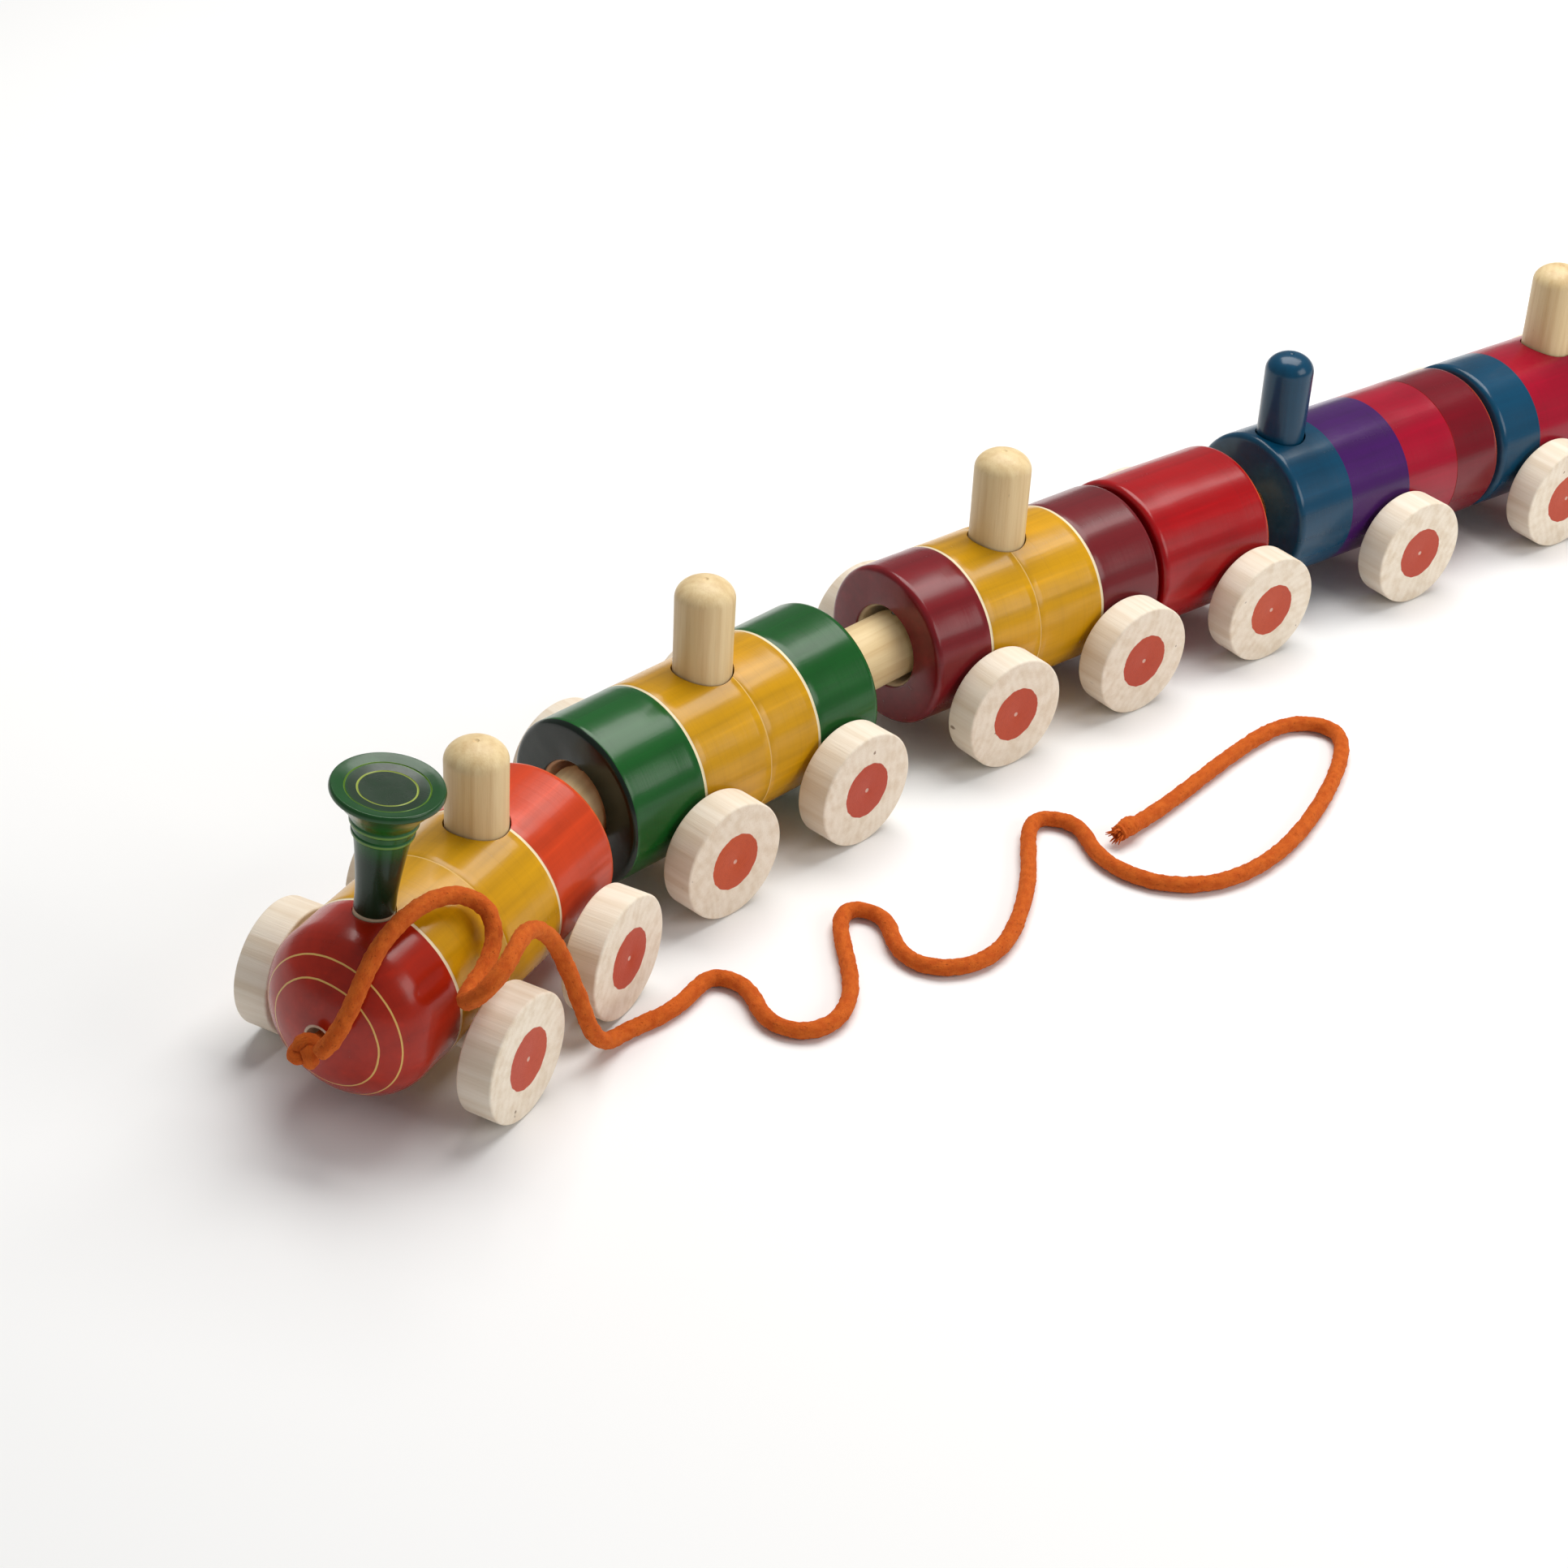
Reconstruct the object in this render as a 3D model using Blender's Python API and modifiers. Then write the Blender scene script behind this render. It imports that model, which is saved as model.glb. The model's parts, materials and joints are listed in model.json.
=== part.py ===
"""Turned wooden pull along train: an engine, two wagons, a tender and two coaches on a cotton cord.

Metres, +Z up. The train stands on the plane z = 0, nose towards -X, in a gentle left hand bend.
Each vehicle has its own empty on the ground under its front axle, with +X forward, +Y left and
+Z up, and everything on the vehicle is placed in that frame.
"""

import math

import bmesh
import bpy
from mathutils import Euler, Vector

# ---------------------------------------------------------------- driving dimensions (metres)
FIT_GAP = 0.0003            # between faces that are glued, seated or pressed together

# Wheels and axles
WHEEL_RADIUS = 0.018
AXIS_RISE = 0.013           # centre line of every turned body above its axles
AXIS_HEIGHT = WHEEL_RADIUS + AXIS_RISE
WHEEL_WIDTH = 0.0105
WHEEL_SIDES = 24
WHEEL_BORE_DEPTH = 0.006
AXLE_RADIUS = 0.0035
AXLE_PLAY = 0.0006          # radial running clearance of an axle in its body
ENGINE_WHEEL_CLEARANCE = 0.0047   # between the inner face of a wheel and the body's widest line
WAGON_WHEEL_CLEARANCE = 0.0015

# Turned bodies
ENGINE_RADIUS = 0.0246
WAGON_RADIUS = 0.0250
EDGE_ROUND = 0.002          # rounding of the ends of the turned bodies
BODY_SIDES = 32
NOSE_START = 0.019          # where the engine's barrel turns into its dome, ahead of the axle
NOSE_DEPTH = 0.0164
NOSE_STEPS = 6
NOSE_HOLE_RADIUS = 0.0036
NOSE_HOLE_DEPTH = 0.013

# Couplings: a dowel glued into the vehicle in front, pinned loosely in the one behind
DOWEL_RADIUS = 0.0103
TENDER_DOWEL_RADIUS = 0.006
DOWEL_SOCKET_DEPTH = 0.011
DOWEL_TAPER = 0.004         # chamfer of the dowel's free end
DOWEL_PAST_PIN = 0.005
MOUTH_PLAY = 0.0020         # radial room around the dowel in the oversize front hole
MOUTH_FLARE = 0.001
MOUTH_FLARE_DEPTH = 0.0015
MOUTH_DEPTH = 0.013
PIN_SETBACK = 0.004         # coupling pin behind the front face of the vehicle it belongs to
PIN_RADIUS = 0.0013
PIN_RECESS = 0.001          # head of the pin above the underside of the body
PIN_BITE = 0.004            # how far the pin goes into the wood above the front hole
PIN_COVER = 0.001           # least wood between the pin and the chimney above it

# Pegs, chimney and funnel
PEG_RADIUS = 0.0087
PEG_DOME = 0.006
PEG_SOCKET_DEPTH = 0.012
PEG_SIDES = 20
WAGON_PEG_RISE = 0.0285     # tops above the top line of the body
ENGINE_PEG_RISE = 0.0245
CHIMNEY_RADIUS = 0.0078
CHIMNEY_RISE = 0.0280
FUNNEL_LEAN_LEFT = math.radians(5.7)
FUNNEL_LEAN_BACK = math.radians(3.0)
FUNNEL_HEIGHT = 0.0378      # above the top of the barrel
FUNNEL_STEM_RADIUS = 0.0051
FUNNEL_RIM_RADIUS = 0.0146
FUNNEL_DISH = 0.0012
FUNNEL_TENON_RADIUS = 0.0044
FUNNEL_TENON_DEPTH = 0.009
FUNNEL_SEAT_DEPTH = 0.0016  # how far the stem goes into the barrel's curved top
FUNNEL_SIDES = 28

# Pull cord
CORD_RADIUS = 0.0024
KNOT_RADIUS = 0.0050
END_KNOT_RADIUS = 0.0036
END_KNOT_LENGTH = 0.012
CORD_POINTS = 80

# Where the engine stands, and which way it points
ENGINE_PLACE = (-0.2608, -0.0008)
ENGINE_HEADING = math.radians(195.9)

# front and rear: front axle to the front and rear faces. gap: room between the faces ahead.
# turn: heading relative to the vehicle ahead, as the train stands.
VEHICLES = (
    dict(name="engine", front=NOSE_START + NOSE_DEPTH, rear=0.0681, axles=(0.0, -0.0502), peg=-0.0375,
         paint=(0.62, 0.05, 0.03), dowel=DOWEL_RADIUS),
    dict(name="green_wagon", front=0.0274, rear=0.0708, axles=(0.0, -0.0536), peg=-0.0217,
         paint=(0.03, 0.20, 0.06), dowel=DOWEL_RADIUS, gap=0.0198, turn=math.radians(-16.0)),
    dict(name="maroon_wagon", front=0.0214, rear=0.0708, axles=(0.0, -0.0536), peg=-0.0217,
         paint=(0.27, 0.02, 0.03), dowel=DOWEL_RADIUS, gap=0.0293, turn=math.radians(-6.6)),
    dict(name="red_tender", front=0.0369, rear=0.0092, axles=(0.0,), peg=None,
         paint=(0.50, 0.01, 0.02), dowel=TENDER_DOWEL_RADIUS, gap=0.0025, turn=math.radians(-1.5)),
    dict(name="blue_coach", front=0.0450, rear=0.0472, axles=(0.0,), peg=0.0340,
         paint=(0.02, 0.12, 0.22), dowel=DOWEL_RADIUS, gap=0.0140, turn=math.radians(-0.8)),
    dict(name="tail_coach", front=0.0214, rear=0.0708, axles=(0.0, -0.0536), peg=-0.0217,
         paint=(0.35, 0.01, 0.05), dowel=None, gap=0.0025, turn=math.radians(-0.5)),
)
FUNNEL_PLACE = 0.0095       # ahead of the engine's front axle, where it enters the barrel

WOOD = (0.72, 0.55, 0.36)
GREEN = (0.02, 0.12, 0.03)
BLUE = (0.03, 0.14, 0.24)
STEEL = (0.55, 0.55, 0.56)
ORANGE = (0.72, 0.20, 0.03)

# The cord's route from the nose knot to its free end: over the barrel, down between the wheels
# and along the floor in loose waves.
CORD_ROUTE = (
    (-0.2993, -0.0176, 0.0342),
    (-0.2981, -0.0204, 0.0376),
    (-0.2930, -0.0214, 0.0450),
    (-0.2877, -0.0204, 0.0522),
    (-0.2797, -0.0174, 0.0574),
    (-0.2687, -0.0142, 0.0586),
    (-0.2587, -0.0122, 0.0580),
    (-0.2492, -0.0130, 0.0558),
    (-0.2446, -0.0186, 0.0516),
    (-0.2473, -0.0236, 0.0468),
    (-0.2532, -0.0274, 0.0434),
    (-0.2607, -0.0298, 0.0414),
    (-0.2685, -0.0344, 0.0422),
    (-0.2683, -0.0426, 0.0494),
    (-0.2587, -0.0418, 0.0548),
    (-0.2502, -0.0362, 0.0552),
    (-0.2412, -0.0308, 0.0510),
    (-0.2333, -0.0290, 0.0435),
    (-0.2301, -0.0314, 0.0335),
    (-0.2285, -0.0354, 0.0225),
    (-0.2255, -0.0366, 0.0110),
    (-0.2187, -0.0354, 0.0042),
    (-0.2092, -0.0330, 0.0026),
    (-0.1967, -0.0356, 0.0026),
    (-0.1842, -0.0330, 0.0026),
    (-0.1752, -0.0300, 0.0026),
    (-0.1712, -0.0420, 0.0026),
    (-0.1797, -0.0530, 0.0026),
    (-0.1772, -0.0650, 0.0026),
    (-0.1662, -0.0690, 0.0026),
    (-0.1532, -0.0628, 0.0026),
    (-0.1427, -0.0505, 0.0026),
    (-0.1342, -0.0390, 0.0026),
    (-0.1252, -0.0330, 0.0026),
    (-0.1192, -0.0445, 0.0026),
    (-0.1292, -0.0545, 0.0026),
    (-0.1312, -0.0665, 0.0026),
    (-0.1222, -0.0756, 0.0026),
    (-0.1082, -0.0772, 0.0026),
    (-0.0912, -0.0692, 0.0026),
    (-0.0742, -0.0580, 0.0026),
    (-0.0613, -0.0456, 0.0026),
    (-0.0507, -0.0388, 0.0026),
    (-0.0432, -0.0510, 0.0026),
    (-0.0517, -0.0615, 0.0026),
    (-0.0542, -0.0730, 0.0026),
    (-0.0517, -0.0840, 0.0026),
    (-0.0442, -0.0935, 0.0026),
    (-0.0307, -0.0998, 0.0026),
    (-0.0087, -0.1000, 0.0026),
    (0.0173, -0.0930, 0.0026),
    (0.0408, -0.0835, 0.0026),
    (0.0573, -0.0726, 0.0026),
    (0.0503, -0.0596, 0.0026),
    (0.0358, -0.0570, 0.0026),
    (0.0103, -0.0590, 0.0026),
    (-0.0167, -0.0622, 0.0026),
    (-0.0347, -0.0630, 0.0032),
)

UPRIGHT = (0.0, 0.0, 0.0)           # leaves a shape's own Z standing up
FORWARD = (0.0, math.pi / 2, 0.0)   # turns a shape's own Z to the vehicle's +X


# ---------------------------------------------------------------- scene and materials
def clear_scene():
    for old in list(bpy.data.objects):
        bpy.data.objects.remove(old, do_unlink=True)


def new_collection(name):
    collection = bpy.data.collections.new(name)
    bpy.context.scene.collection.children.link(collection)
    return collection


def material(name, colour, roughness, metallic=0.0):
    made = bpy.data.materials.get(name)
    if made is None:
        made = bpy.data.materials.new(name)
        made.use_nodes = True
        shader = made.node_tree.nodes["Principled BSDF"]
        shader.inputs["Base Color"].default_value = (*colour, 1.0)
        shader.inputs["Roughness"].default_value = roughness
        shader.inputs["Metallic"].default_value = metallic
    return made


clear_scene()
PARTS = new_collection("pull_along_train")
CUTTERS = new_collection("cutters")


# ---------------------------------------------------------------- shape helpers
def turned(name, profile, sides, start=0.0):
    """A closed lathe shape about its own Z from (radius, height) points, top to bottom."""
    mesh = bpy.data.meshes.new(name)
    points = [(radius * math.cos(start), radius * math.sin(start), height)
              for radius, height in profile]
    edges = [(index, index + 1) for index in range(len(points) - 1)]
    mesh.from_pydata(points, edges, [])
    shape = bpy.data.objects.new(name, mesh)
    screw = shape.modifiers.new("turn", "SCREW")
    screw.steps = sides
    screw.render_steps = sides
    screw.use_merge_vertices = True
    screw.merge_threshold = 0.00002
    return shape


def place(shape, parent, location, rotation, paint=None, collection=PARTS):
    """Puts a shape on a vehicle, or on nothing, in the parts or the cutters."""
    collection.objects.link(shape)
    shape.parent = parent
    shape.location = location
    shape.rotation_euler = rotation
    if paint is not None:
        shape.data.materials.append(paint)
    return shape


def drill(target, parent, location, rotation, radius, length, sides=16):
    """Cuts a round hole whose axis is the cutter's own Z, centred on its location."""
    name = f"{target.name}_cutter_{len(target.modifiers)}"
    mesh = bpy.data.meshes.new(name)
    rod = bmesh.new()
    bmesh.ops.create_cone(rod, cap_ends=True, segments=sides, radius1=radius, radius2=radius,
                          depth=length)
    rod.to_mesh(mesh)
    rod.free()
    cutter = place(bpy.data.objects.new(name, mesh), parent, location, rotation, None, CUTTERS)
    cutter.hide_render = True
    cutter.display_type = "WIRE"
    cut = target.modifiers.new("drill", "BOOLEAN")
    cut.operation = "DIFFERENCE"
    cut.solver = "EXACT"
    cut.object = cutter


def rounded_end(radius, height, direction):
    """Two points that round a body's end. direction is 1 at the top and -1 at the bottom."""
    pair = [(radius - EDGE_ROUND, height), (radius, height - direction * EDGE_ROUND)]
    return pair if direction > 0 else pair[::-1]


# ---------------------------------------------------------------- pieces of a vehicle
def rear_socket(dowel, rear_face):
    """Points of the blind hole in a rear face, from the face to the hole's centre."""
    if dowel is None:
        return [(0.0, rear_face)]
    radius = dowel + FIT_GAP
    return [(radius, rear_face), (radius, rear_face + DOWEL_SOCKET_DEPTH),
            (0.0, rear_face + DOWEL_SOCKET_DEPTH)]


def front_mouth(dowel, front_face):
    """Points of the oversize hole in a front face, from the hole's centre to the face."""
    radius = dowel + MOUTH_PLAY
    return [(0.0, front_face - MOUTH_DEPTH), (radius, front_face - MOUTH_DEPTH),
            (radius, front_face - MOUTH_FLARE_DEPTH), (radius + MOUTH_FLARE, front_face)]


def nose_profile(tip):
    """The engine's domed nose, from its cord hole to the barrel."""
    points = [(0.0, tip - NOSE_HOLE_DEPTH), (NOSE_HOLE_RADIUS, tip - NOSE_HOLE_DEPTH)]
    first = math.asin(NOSE_HOLE_RADIUS / ENGINE_RADIUS)
    for step in range(NOSE_STEPS + 1):
        angle = first + (math.pi / 2 - first) * step / NOSE_STEPS
        points.append((ENGINE_RADIUS * math.sin(angle), tip - NOSE_DEPTH * (1 - math.cos(angle))))
    return points


def make_body(spec, frame, radius, dowel_ahead):
    """The turned body, with its coupling holes and the cross holes for its axles."""
    front = spec["front"]
    rear = -spec["rear"]
    if dowel_ahead is None:
        profile = nose_profile(NOSE_START + NOSE_DEPTH)
    else:
        profile = front_mouth(dowel_ahead, front) + rounded_end(radius, front, 1)
    profile += rounded_end(radius, rear, -1) + rear_socket(spec["dowel"], rear)
    body = turned(spec["name"] + "_body", profile, BODY_SIDES, math.pi / BODY_SIDES)
    place(body, frame, (0.0, 0.0, AXIS_HEIGHT), FORWARD,
          material(spec["name"] + "_lacquer", spec["paint"], 0.2))
    for axle in spec["axles"]:
        drill(body, frame, (axle, 0.0, WHEEL_RADIUS), (math.pi / 2, 0.0, 0.0),
              AXLE_RADIUS + AXLE_PLAY, 4 * radius)
    return body


def make_wheelset(spec, frame, axle, end, half_track):
    """An axle with a wheel glued on each end; the axle turns in the body."""
    name = f"{spec['name']}_{end}"
    reach = half_track - WHEEL_WIDTH + WHEEL_BORE_DEPTH - FIT_GAP
    rod = turned(name + "_axle", [(0.0, reach), (AXLE_RADIUS, reach), (AXLE_RADIUS, -reach),
                                  (0.0, -reach)], 12)
    centre = (axle, 0.0, WHEEL_RADIUS)
    place(rod, frame, centre, (math.pi / 2, 0.0, 0.0), material("axle_wood", WOOD, 0.6))
    corner = WHEEL_RADIUS / math.cos(math.pi / WHEEL_SIDES)
    bore = AXLE_RADIUS + FIT_GAP
    depth = WHEEL_BORE_DEPTH - WHEEL_WIDTH
    profile = [(0.0, 0.0), (corner, 0.0), (corner, -WHEEL_WIDTH), (bore, -WHEEL_WIDTH),
               (bore, depth), (0.0, depth)]
    for side, sign in (("left", 1), ("right", -1)):
        wheel = turned(f"{name}_{side}_wheel", profile, WHEEL_SIDES, math.pi / WHEEL_SIDES)
        place(wheel, frame, (axle, sign * half_track, WHEEL_RADIUS),
              (-sign * math.pi / 2, 0.0, 0.0), material("wheel_wood", WOOD, 0.55))


def make_peg(name, frame, body, place_x, radius, body_radius, rise, paint, lowest=0.0):
    """A domed peg glued in a blind hole in the top of a body, no deeper than a given height."""
    barrel_top = AXIS_HEIGHT + body_radius
    bottom = max(barrel_top - PEG_SOCKET_DEPTH, lowest)
    top = barrel_top + rise
    shoulder = top - PEG_DOME
    profile = [(0.0, top)]
    for step in (1, 2, 3, 4):
        angle = math.pi / 8 * step
        profile.append((radius * math.sin(angle), shoulder + PEG_DOME * math.cos(angle)))
    profile += [(radius, bottom), (0.0, bottom)]
    peg = turned(name, profile, PEG_SIDES)
    place(peg, frame, (place_x, 0.0, 0.0), UPRIGHT, paint)
    drill(body, frame, (place_x, 0.0, bottom - FIT_GAP + PEG_SOCKET_DEPTH), UPRIGHT,
          radius + FIT_GAP, 2 * PEG_SOCKET_DEPTH, PEG_SIDES)


def make_drawbar(spec, frame, follower):
    """The coupling dowel, from its socket to just past the next vehicle's pin."""
    radius = spec["dowel"]
    start = -spec["rear"] + DOWEL_SOCKET_DEPTH - FIT_GAP
    pin = -spec["rear"] - follower["gap"] - PIN_SETBACK
    end = pin - DOWEL_PAST_PIN
    profile = [(0.0, start), (radius, start), (radius, end + DOWEL_TAPER),
               (radius - DOWEL_TAPER, end), (0.0, end)]
    bar = turned(spec["name"] + "_drawbar", profile, 24)
    place(bar, frame, (0.0, 0.0, AXIS_HEIGHT), FORWARD, material("drawbar_wood", WOOD, 0.6))
    drill(bar, frame, (pin, 0.0, AXIS_HEIGHT), UPRIGHT, PIN_RADIUS + FIT_GAP, 4 * radius, 12)


def pin_top(dowel_ahead):
    return AXIS_HEIGHT + dowel_ahead + MOUTH_PLAY + PIN_BITE


def make_pin(spec, frame, body, dowel_ahead):
    """The upright steel pin that the dowel swings on, pushed in from below."""
    across = spec["front"] - PIN_SETBACK
    bottom = AXIS_HEIGHT - WAGON_RADIUS + PIN_RECESS
    top = pin_top(dowel_ahead)
    pin = turned(spec["name"] + "_coupling_pin", [(0.0, top), (PIN_RADIUS, top),
                                                  (PIN_RADIUS, bottom), (0.0, bottom)], 12)
    place(pin, frame, (across, 0.0, 0.0), UPRIGHT, material("pin_steel", STEEL, 0.35, 1.0))
    hole_top = top + FIT_GAP
    hole_bottom = bottom - WAGON_RADIUS
    drill(body, frame, (across, 0.0, (hole_top + hole_bottom) / 2), UPRIGHT,
          PIN_RADIUS + FIT_GAP, hole_top - hole_bottom, 12)


def make_funnel(frame, body):
    """The flared smoke funnel, leaning a little to the left and back, its tenon in the barrel."""
    top = FUNNEL_HEIGHT
    stem = FUNNEL_STEM_RADIUS
    rim = FUNNEL_RIM_RADIUS
    profile = [(0.0, top - FUNNEL_DISH), (0.60 * rim, top - FUNNEL_DISH), (0.90 * rim, top),
               (0.97 * rim, top), (rim, 0.98 * top), (rim, 0.955 * top), (0.90 * rim, 0.92 * top),
               (0.66 * rim, 0.83 * top), (0.55 * rim, 0.77 * top), (0.51 * rim, 0.68 * top),
               (0.45 * rim, 0.60 * top), (0.385 * rim, 0.40 * top), (stem, 0.20 * top), (stem, 0.0)]
    neck = -FUNNEL_SEAT_DEPTH
    profile += [(stem, neck), (FUNNEL_TENON_RADIUS, neck),
                (FUNNEL_TENON_RADIUS, -FUNNEL_TENON_DEPTH), (0.0, -FUNNEL_TENON_DEPTH)]
    funnel = turned("engine_funnel", profile, FUNNEL_SIDES)
    foot = (FUNNEL_PLACE, 0.0, AXIS_HEIGHT + ENGINE_RADIUS)
    lean = (-FUNNEL_LEAN_LEFT, -FUNNEL_LEAN_BACK, 0.0)
    place(funnel, frame, foot, lean, material("funnel_lacquer", GREEN, 0.15))
    along = Euler(lean).to_matrix() @ Vector((0.0, 0.0, 1.0))
    middle = Vector(foot) - along * FIT_GAP
    drill(body, frame, middle, lean, FUNNEL_TENON_RADIUS + FIT_GAP, 2 * FUNNEL_TENON_DEPTH,
          FUNNEL_SIDES)
    drill(body, frame, Vector(foot), lean, stem + FIT_GAP, 2 * (FUNNEL_SEAT_DEPTH + FIT_GAP),
          FUNNEL_SIDES)


# ---------------------------------------------------------------- the pull cord
def smooth_route(route, steps):
    """Points evenly spaced along the smooth B-spline that a route's points pull into shape."""
    path = [Vector(point) for point in route]
    pulls = [2 * path[0] - path[1]] + path + [2 * path[-1] - path[-2]]
    fine = []
    for index in range(1, len(pulls) - 2):
        before, here, there, after = pulls[index - 1:index + 3]
        for step in range(20):
            t = step / 20
            back = 1 - t
            fine.append((back ** 3 * before + (3 * t ** 3 - 6 * t ** 2 + 4) * here
                         + (3 * back ** 3 - 6 * back ** 2 + 4) * there + t ** 3 * after) / 6)
    fine.append(path[-1])
    lengths = [0.0]
    for first, second in zip(fine, fine[1:]):
        lengths.append(lengths[-1] + (second - first).length)
    even = []
    index = 0
    for step in range(steps):
        want = lengths[-1] * step / (steps - 1)
        while index < len(fine) - 2 and lengths[index + 1] < want:
            index += 1
        part = (want - lengths[index]) / (lengths[index + 1] - lengths[index])
        even.append(fine[index].lerp(fine[index + 1], min(max(part, 0.0), 1.0)))
    return even


def make_cord():
    points = smooth_route(CORD_ROUTE, CORD_POINTS)
    curve = bpy.data.curves.new("pull_cord", "CURVE")
    curve.dimensions = "3D"
    curve.bevel_depth = CORD_RADIUS
    curve.bevel_resolution = 2
    curve.use_fill_caps = True
    spline = curve.splines.new("POLY")
    spline.points.add(len(points) - 1)
    for knot, point in zip(spline.points, points):
        knot.co = (*point, 1.0)
    cord = bpy.data.objects.new("pull_cord", curve)
    place(cord, None, (0.0, 0.0, 0.0), UPRIGHT, material("cotton", ORANGE, 0.9))


def knot_profile(radius, front, back):
    """A lump that is round at both ends."""
    middle = (front + back) / 2
    half = (front - back) / 2
    return [(radius * math.sin(math.pi * step / 8), middle + half * math.cos(math.pi * step / 8))
            for step in range(9)]


def make_nose_knot(frame):
    """The knot in front of the nose hole, with the cord's end tucked into the hole."""
    tip = NOSE_START + NOSE_DEPTH
    lump = knot_profile(KNOT_RADIUS, tip + 2 * KNOT_RADIUS, tip + FIT_GAP)
    tail = [(CORD_RADIUS, lump[-2][1] - 0.0006), (CORD_RADIUS, tip - NOSE_HOLE_DEPTH + 0.001),
            (0.0, tip - NOSE_HOLE_DEPTH + 0.001)]
    knot = turned("nose_knot", lump[:-2] + [(CORD_RADIUS + 0.0008, lump[-2][1])] + tail, 16)
    place(knot, frame, (0.0, 0.0, AXIS_HEIGHT), FORWARD, material("cotton", ORANGE, 0.9))


def make_end_knot():
    """The thick tied end, lying on the floor in line with the cord."""
    last = Vector(CORD_ROUTE[-1])
    before = Vector(CORD_ROUTE[-2])
    along = (last - before).normalized()
    turn = along.to_track_quat("Z", "Y").to_euler()
    knot = turned("end_knot", knot_profile(END_KNOT_RADIUS, END_KNOT_LENGTH, 0.0), 12)
    spot = last + along * FIT_GAP
    spot.z = END_KNOT_RADIUS + 0.0001
    place(knot, None, spot, turn, material("cotton", ORANGE, 0.9))


# ---------------------------------------------------------------- assembly
def vehicle_frame(name, position, heading):
    empty = bpy.data.objects.new(name + "_frame", None)
    PARTS.objects.link(empty)
    empty.location = (*position, 0.0)
    empty.rotation_euler = (0.0, 0.0, heading)
    return empty


def pointing(heading):
    return Vector((math.cos(heading), math.sin(heading)))


def layout():
    """Where each vehicle's front axle stands, its heading and its coupling pin."""
    position = Vector(ENGINE_PLACE)
    heading = ENGINE_HEADING
    places = [(position.copy(), heading, None)]
    for leader, follower in zip(VEHICLES, VEHICLES[1:]):
        reach = leader["rear"] + follower["gap"] + PIN_SETBACK
        pin = position - pointing(heading) * reach
        heading = heading + follower["turn"]
        position = pin - pointing(heading) * (follower["front"] - PIN_SETBACK)
        places.append((position.copy(), heading, pin))
    return places


def build():
    dowel_ahead = None
    places = layout()
    for number, spec in enumerate(VEHICLES):
        position, heading, _ = places[number]
        name = spec["name"]
        frame = vehicle_frame(name, position, heading)
        is_engine = name == "engine"
        radius = ENGINE_RADIUS if is_engine else WAGON_RADIUS
        clearance = ENGINE_WHEEL_CLEARANCE if is_engine else WAGON_WHEEL_CLEARANCE
        half_track = radius + clearance + WHEEL_WIDTH
        body = make_body(spec, frame, radius, dowel_ahead)
        for axle, end in zip(spec["axles"], ("front", "rear")):
            make_wheelset(spec, frame, axle, end, half_track)
        if is_engine:
            make_peg(name + "_peg", frame, body, spec["peg"], PEG_RADIUS, radius,
                     ENGINE_PEG_RISE, material("peg_wood", WOOD, 0.5))
            make_funnel(frame, body)
            make_nose_knot(frame)
        elif name == "blue_coach":
            make_peg(name + "_chimney", frame, body, spec["peg"], CHIMNEY_RADIUS, radius,
                     CHIMNEY_RISE, material("chimney_lacquer", BLUE, 0.25),
                     pin_top(dowel_ahead) + PIN_COVER)
        elif spec["peg"] is not None:
            make_peg(name + "_peg", frame, body, spec["peg"], PEG_RADIUS, radius,
                     WAGON_PEG_RISE, material("peg_wood", WOOD, 0.5))
        if dowel_ahead is not None:
            make_pin(spec, frame, body, dowel_ahead)
        if spec["dowel"] is not None:
            make_drawbar(spec, frame, VEHICLES[number + 1])
        dowel_ahead = spec["dowel"]
    make_cord()
    make_end_knot()


build()
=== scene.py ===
"""Turned wooden pull along train: lacquered vehicles, pale wood wheels and pegs, and a cotton cord.

Metres, +Z up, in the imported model's own frame. Each vehicle has its own frame on the floor under
its front axle, with +X forward, +Y left and +Z up. A turned piece is made about Z and then laid
along its vehicle. Shaders read lengths in millimetres.
"""

import json
import math
import random

import bmesh
import bpy
import numpy as np
from mathutils import Matrix, Vector, noise


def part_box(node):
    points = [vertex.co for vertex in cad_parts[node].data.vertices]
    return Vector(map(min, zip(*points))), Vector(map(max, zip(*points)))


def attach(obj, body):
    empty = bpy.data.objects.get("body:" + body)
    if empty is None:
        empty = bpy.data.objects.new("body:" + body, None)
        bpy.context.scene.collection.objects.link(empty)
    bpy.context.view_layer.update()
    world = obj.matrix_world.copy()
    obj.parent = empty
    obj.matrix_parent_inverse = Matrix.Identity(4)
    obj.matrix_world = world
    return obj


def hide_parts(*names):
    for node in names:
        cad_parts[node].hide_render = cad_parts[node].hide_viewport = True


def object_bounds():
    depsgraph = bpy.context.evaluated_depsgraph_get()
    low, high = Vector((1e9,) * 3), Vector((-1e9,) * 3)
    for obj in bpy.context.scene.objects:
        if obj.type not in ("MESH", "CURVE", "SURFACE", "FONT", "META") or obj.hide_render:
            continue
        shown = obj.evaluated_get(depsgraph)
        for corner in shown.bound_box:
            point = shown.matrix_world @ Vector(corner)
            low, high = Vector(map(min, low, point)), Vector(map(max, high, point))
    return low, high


bl_info = {
    "name": "Turned wooden train",
    "version": (1, 0, 0),
    "blender": (4, 5, 0),
    "location": "View3D > Sidebar > Wooden train",
    "description": "Makes a lacquered wooden pull along train with a cotton cord",
    "category": "Add Mesh",
}

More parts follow.
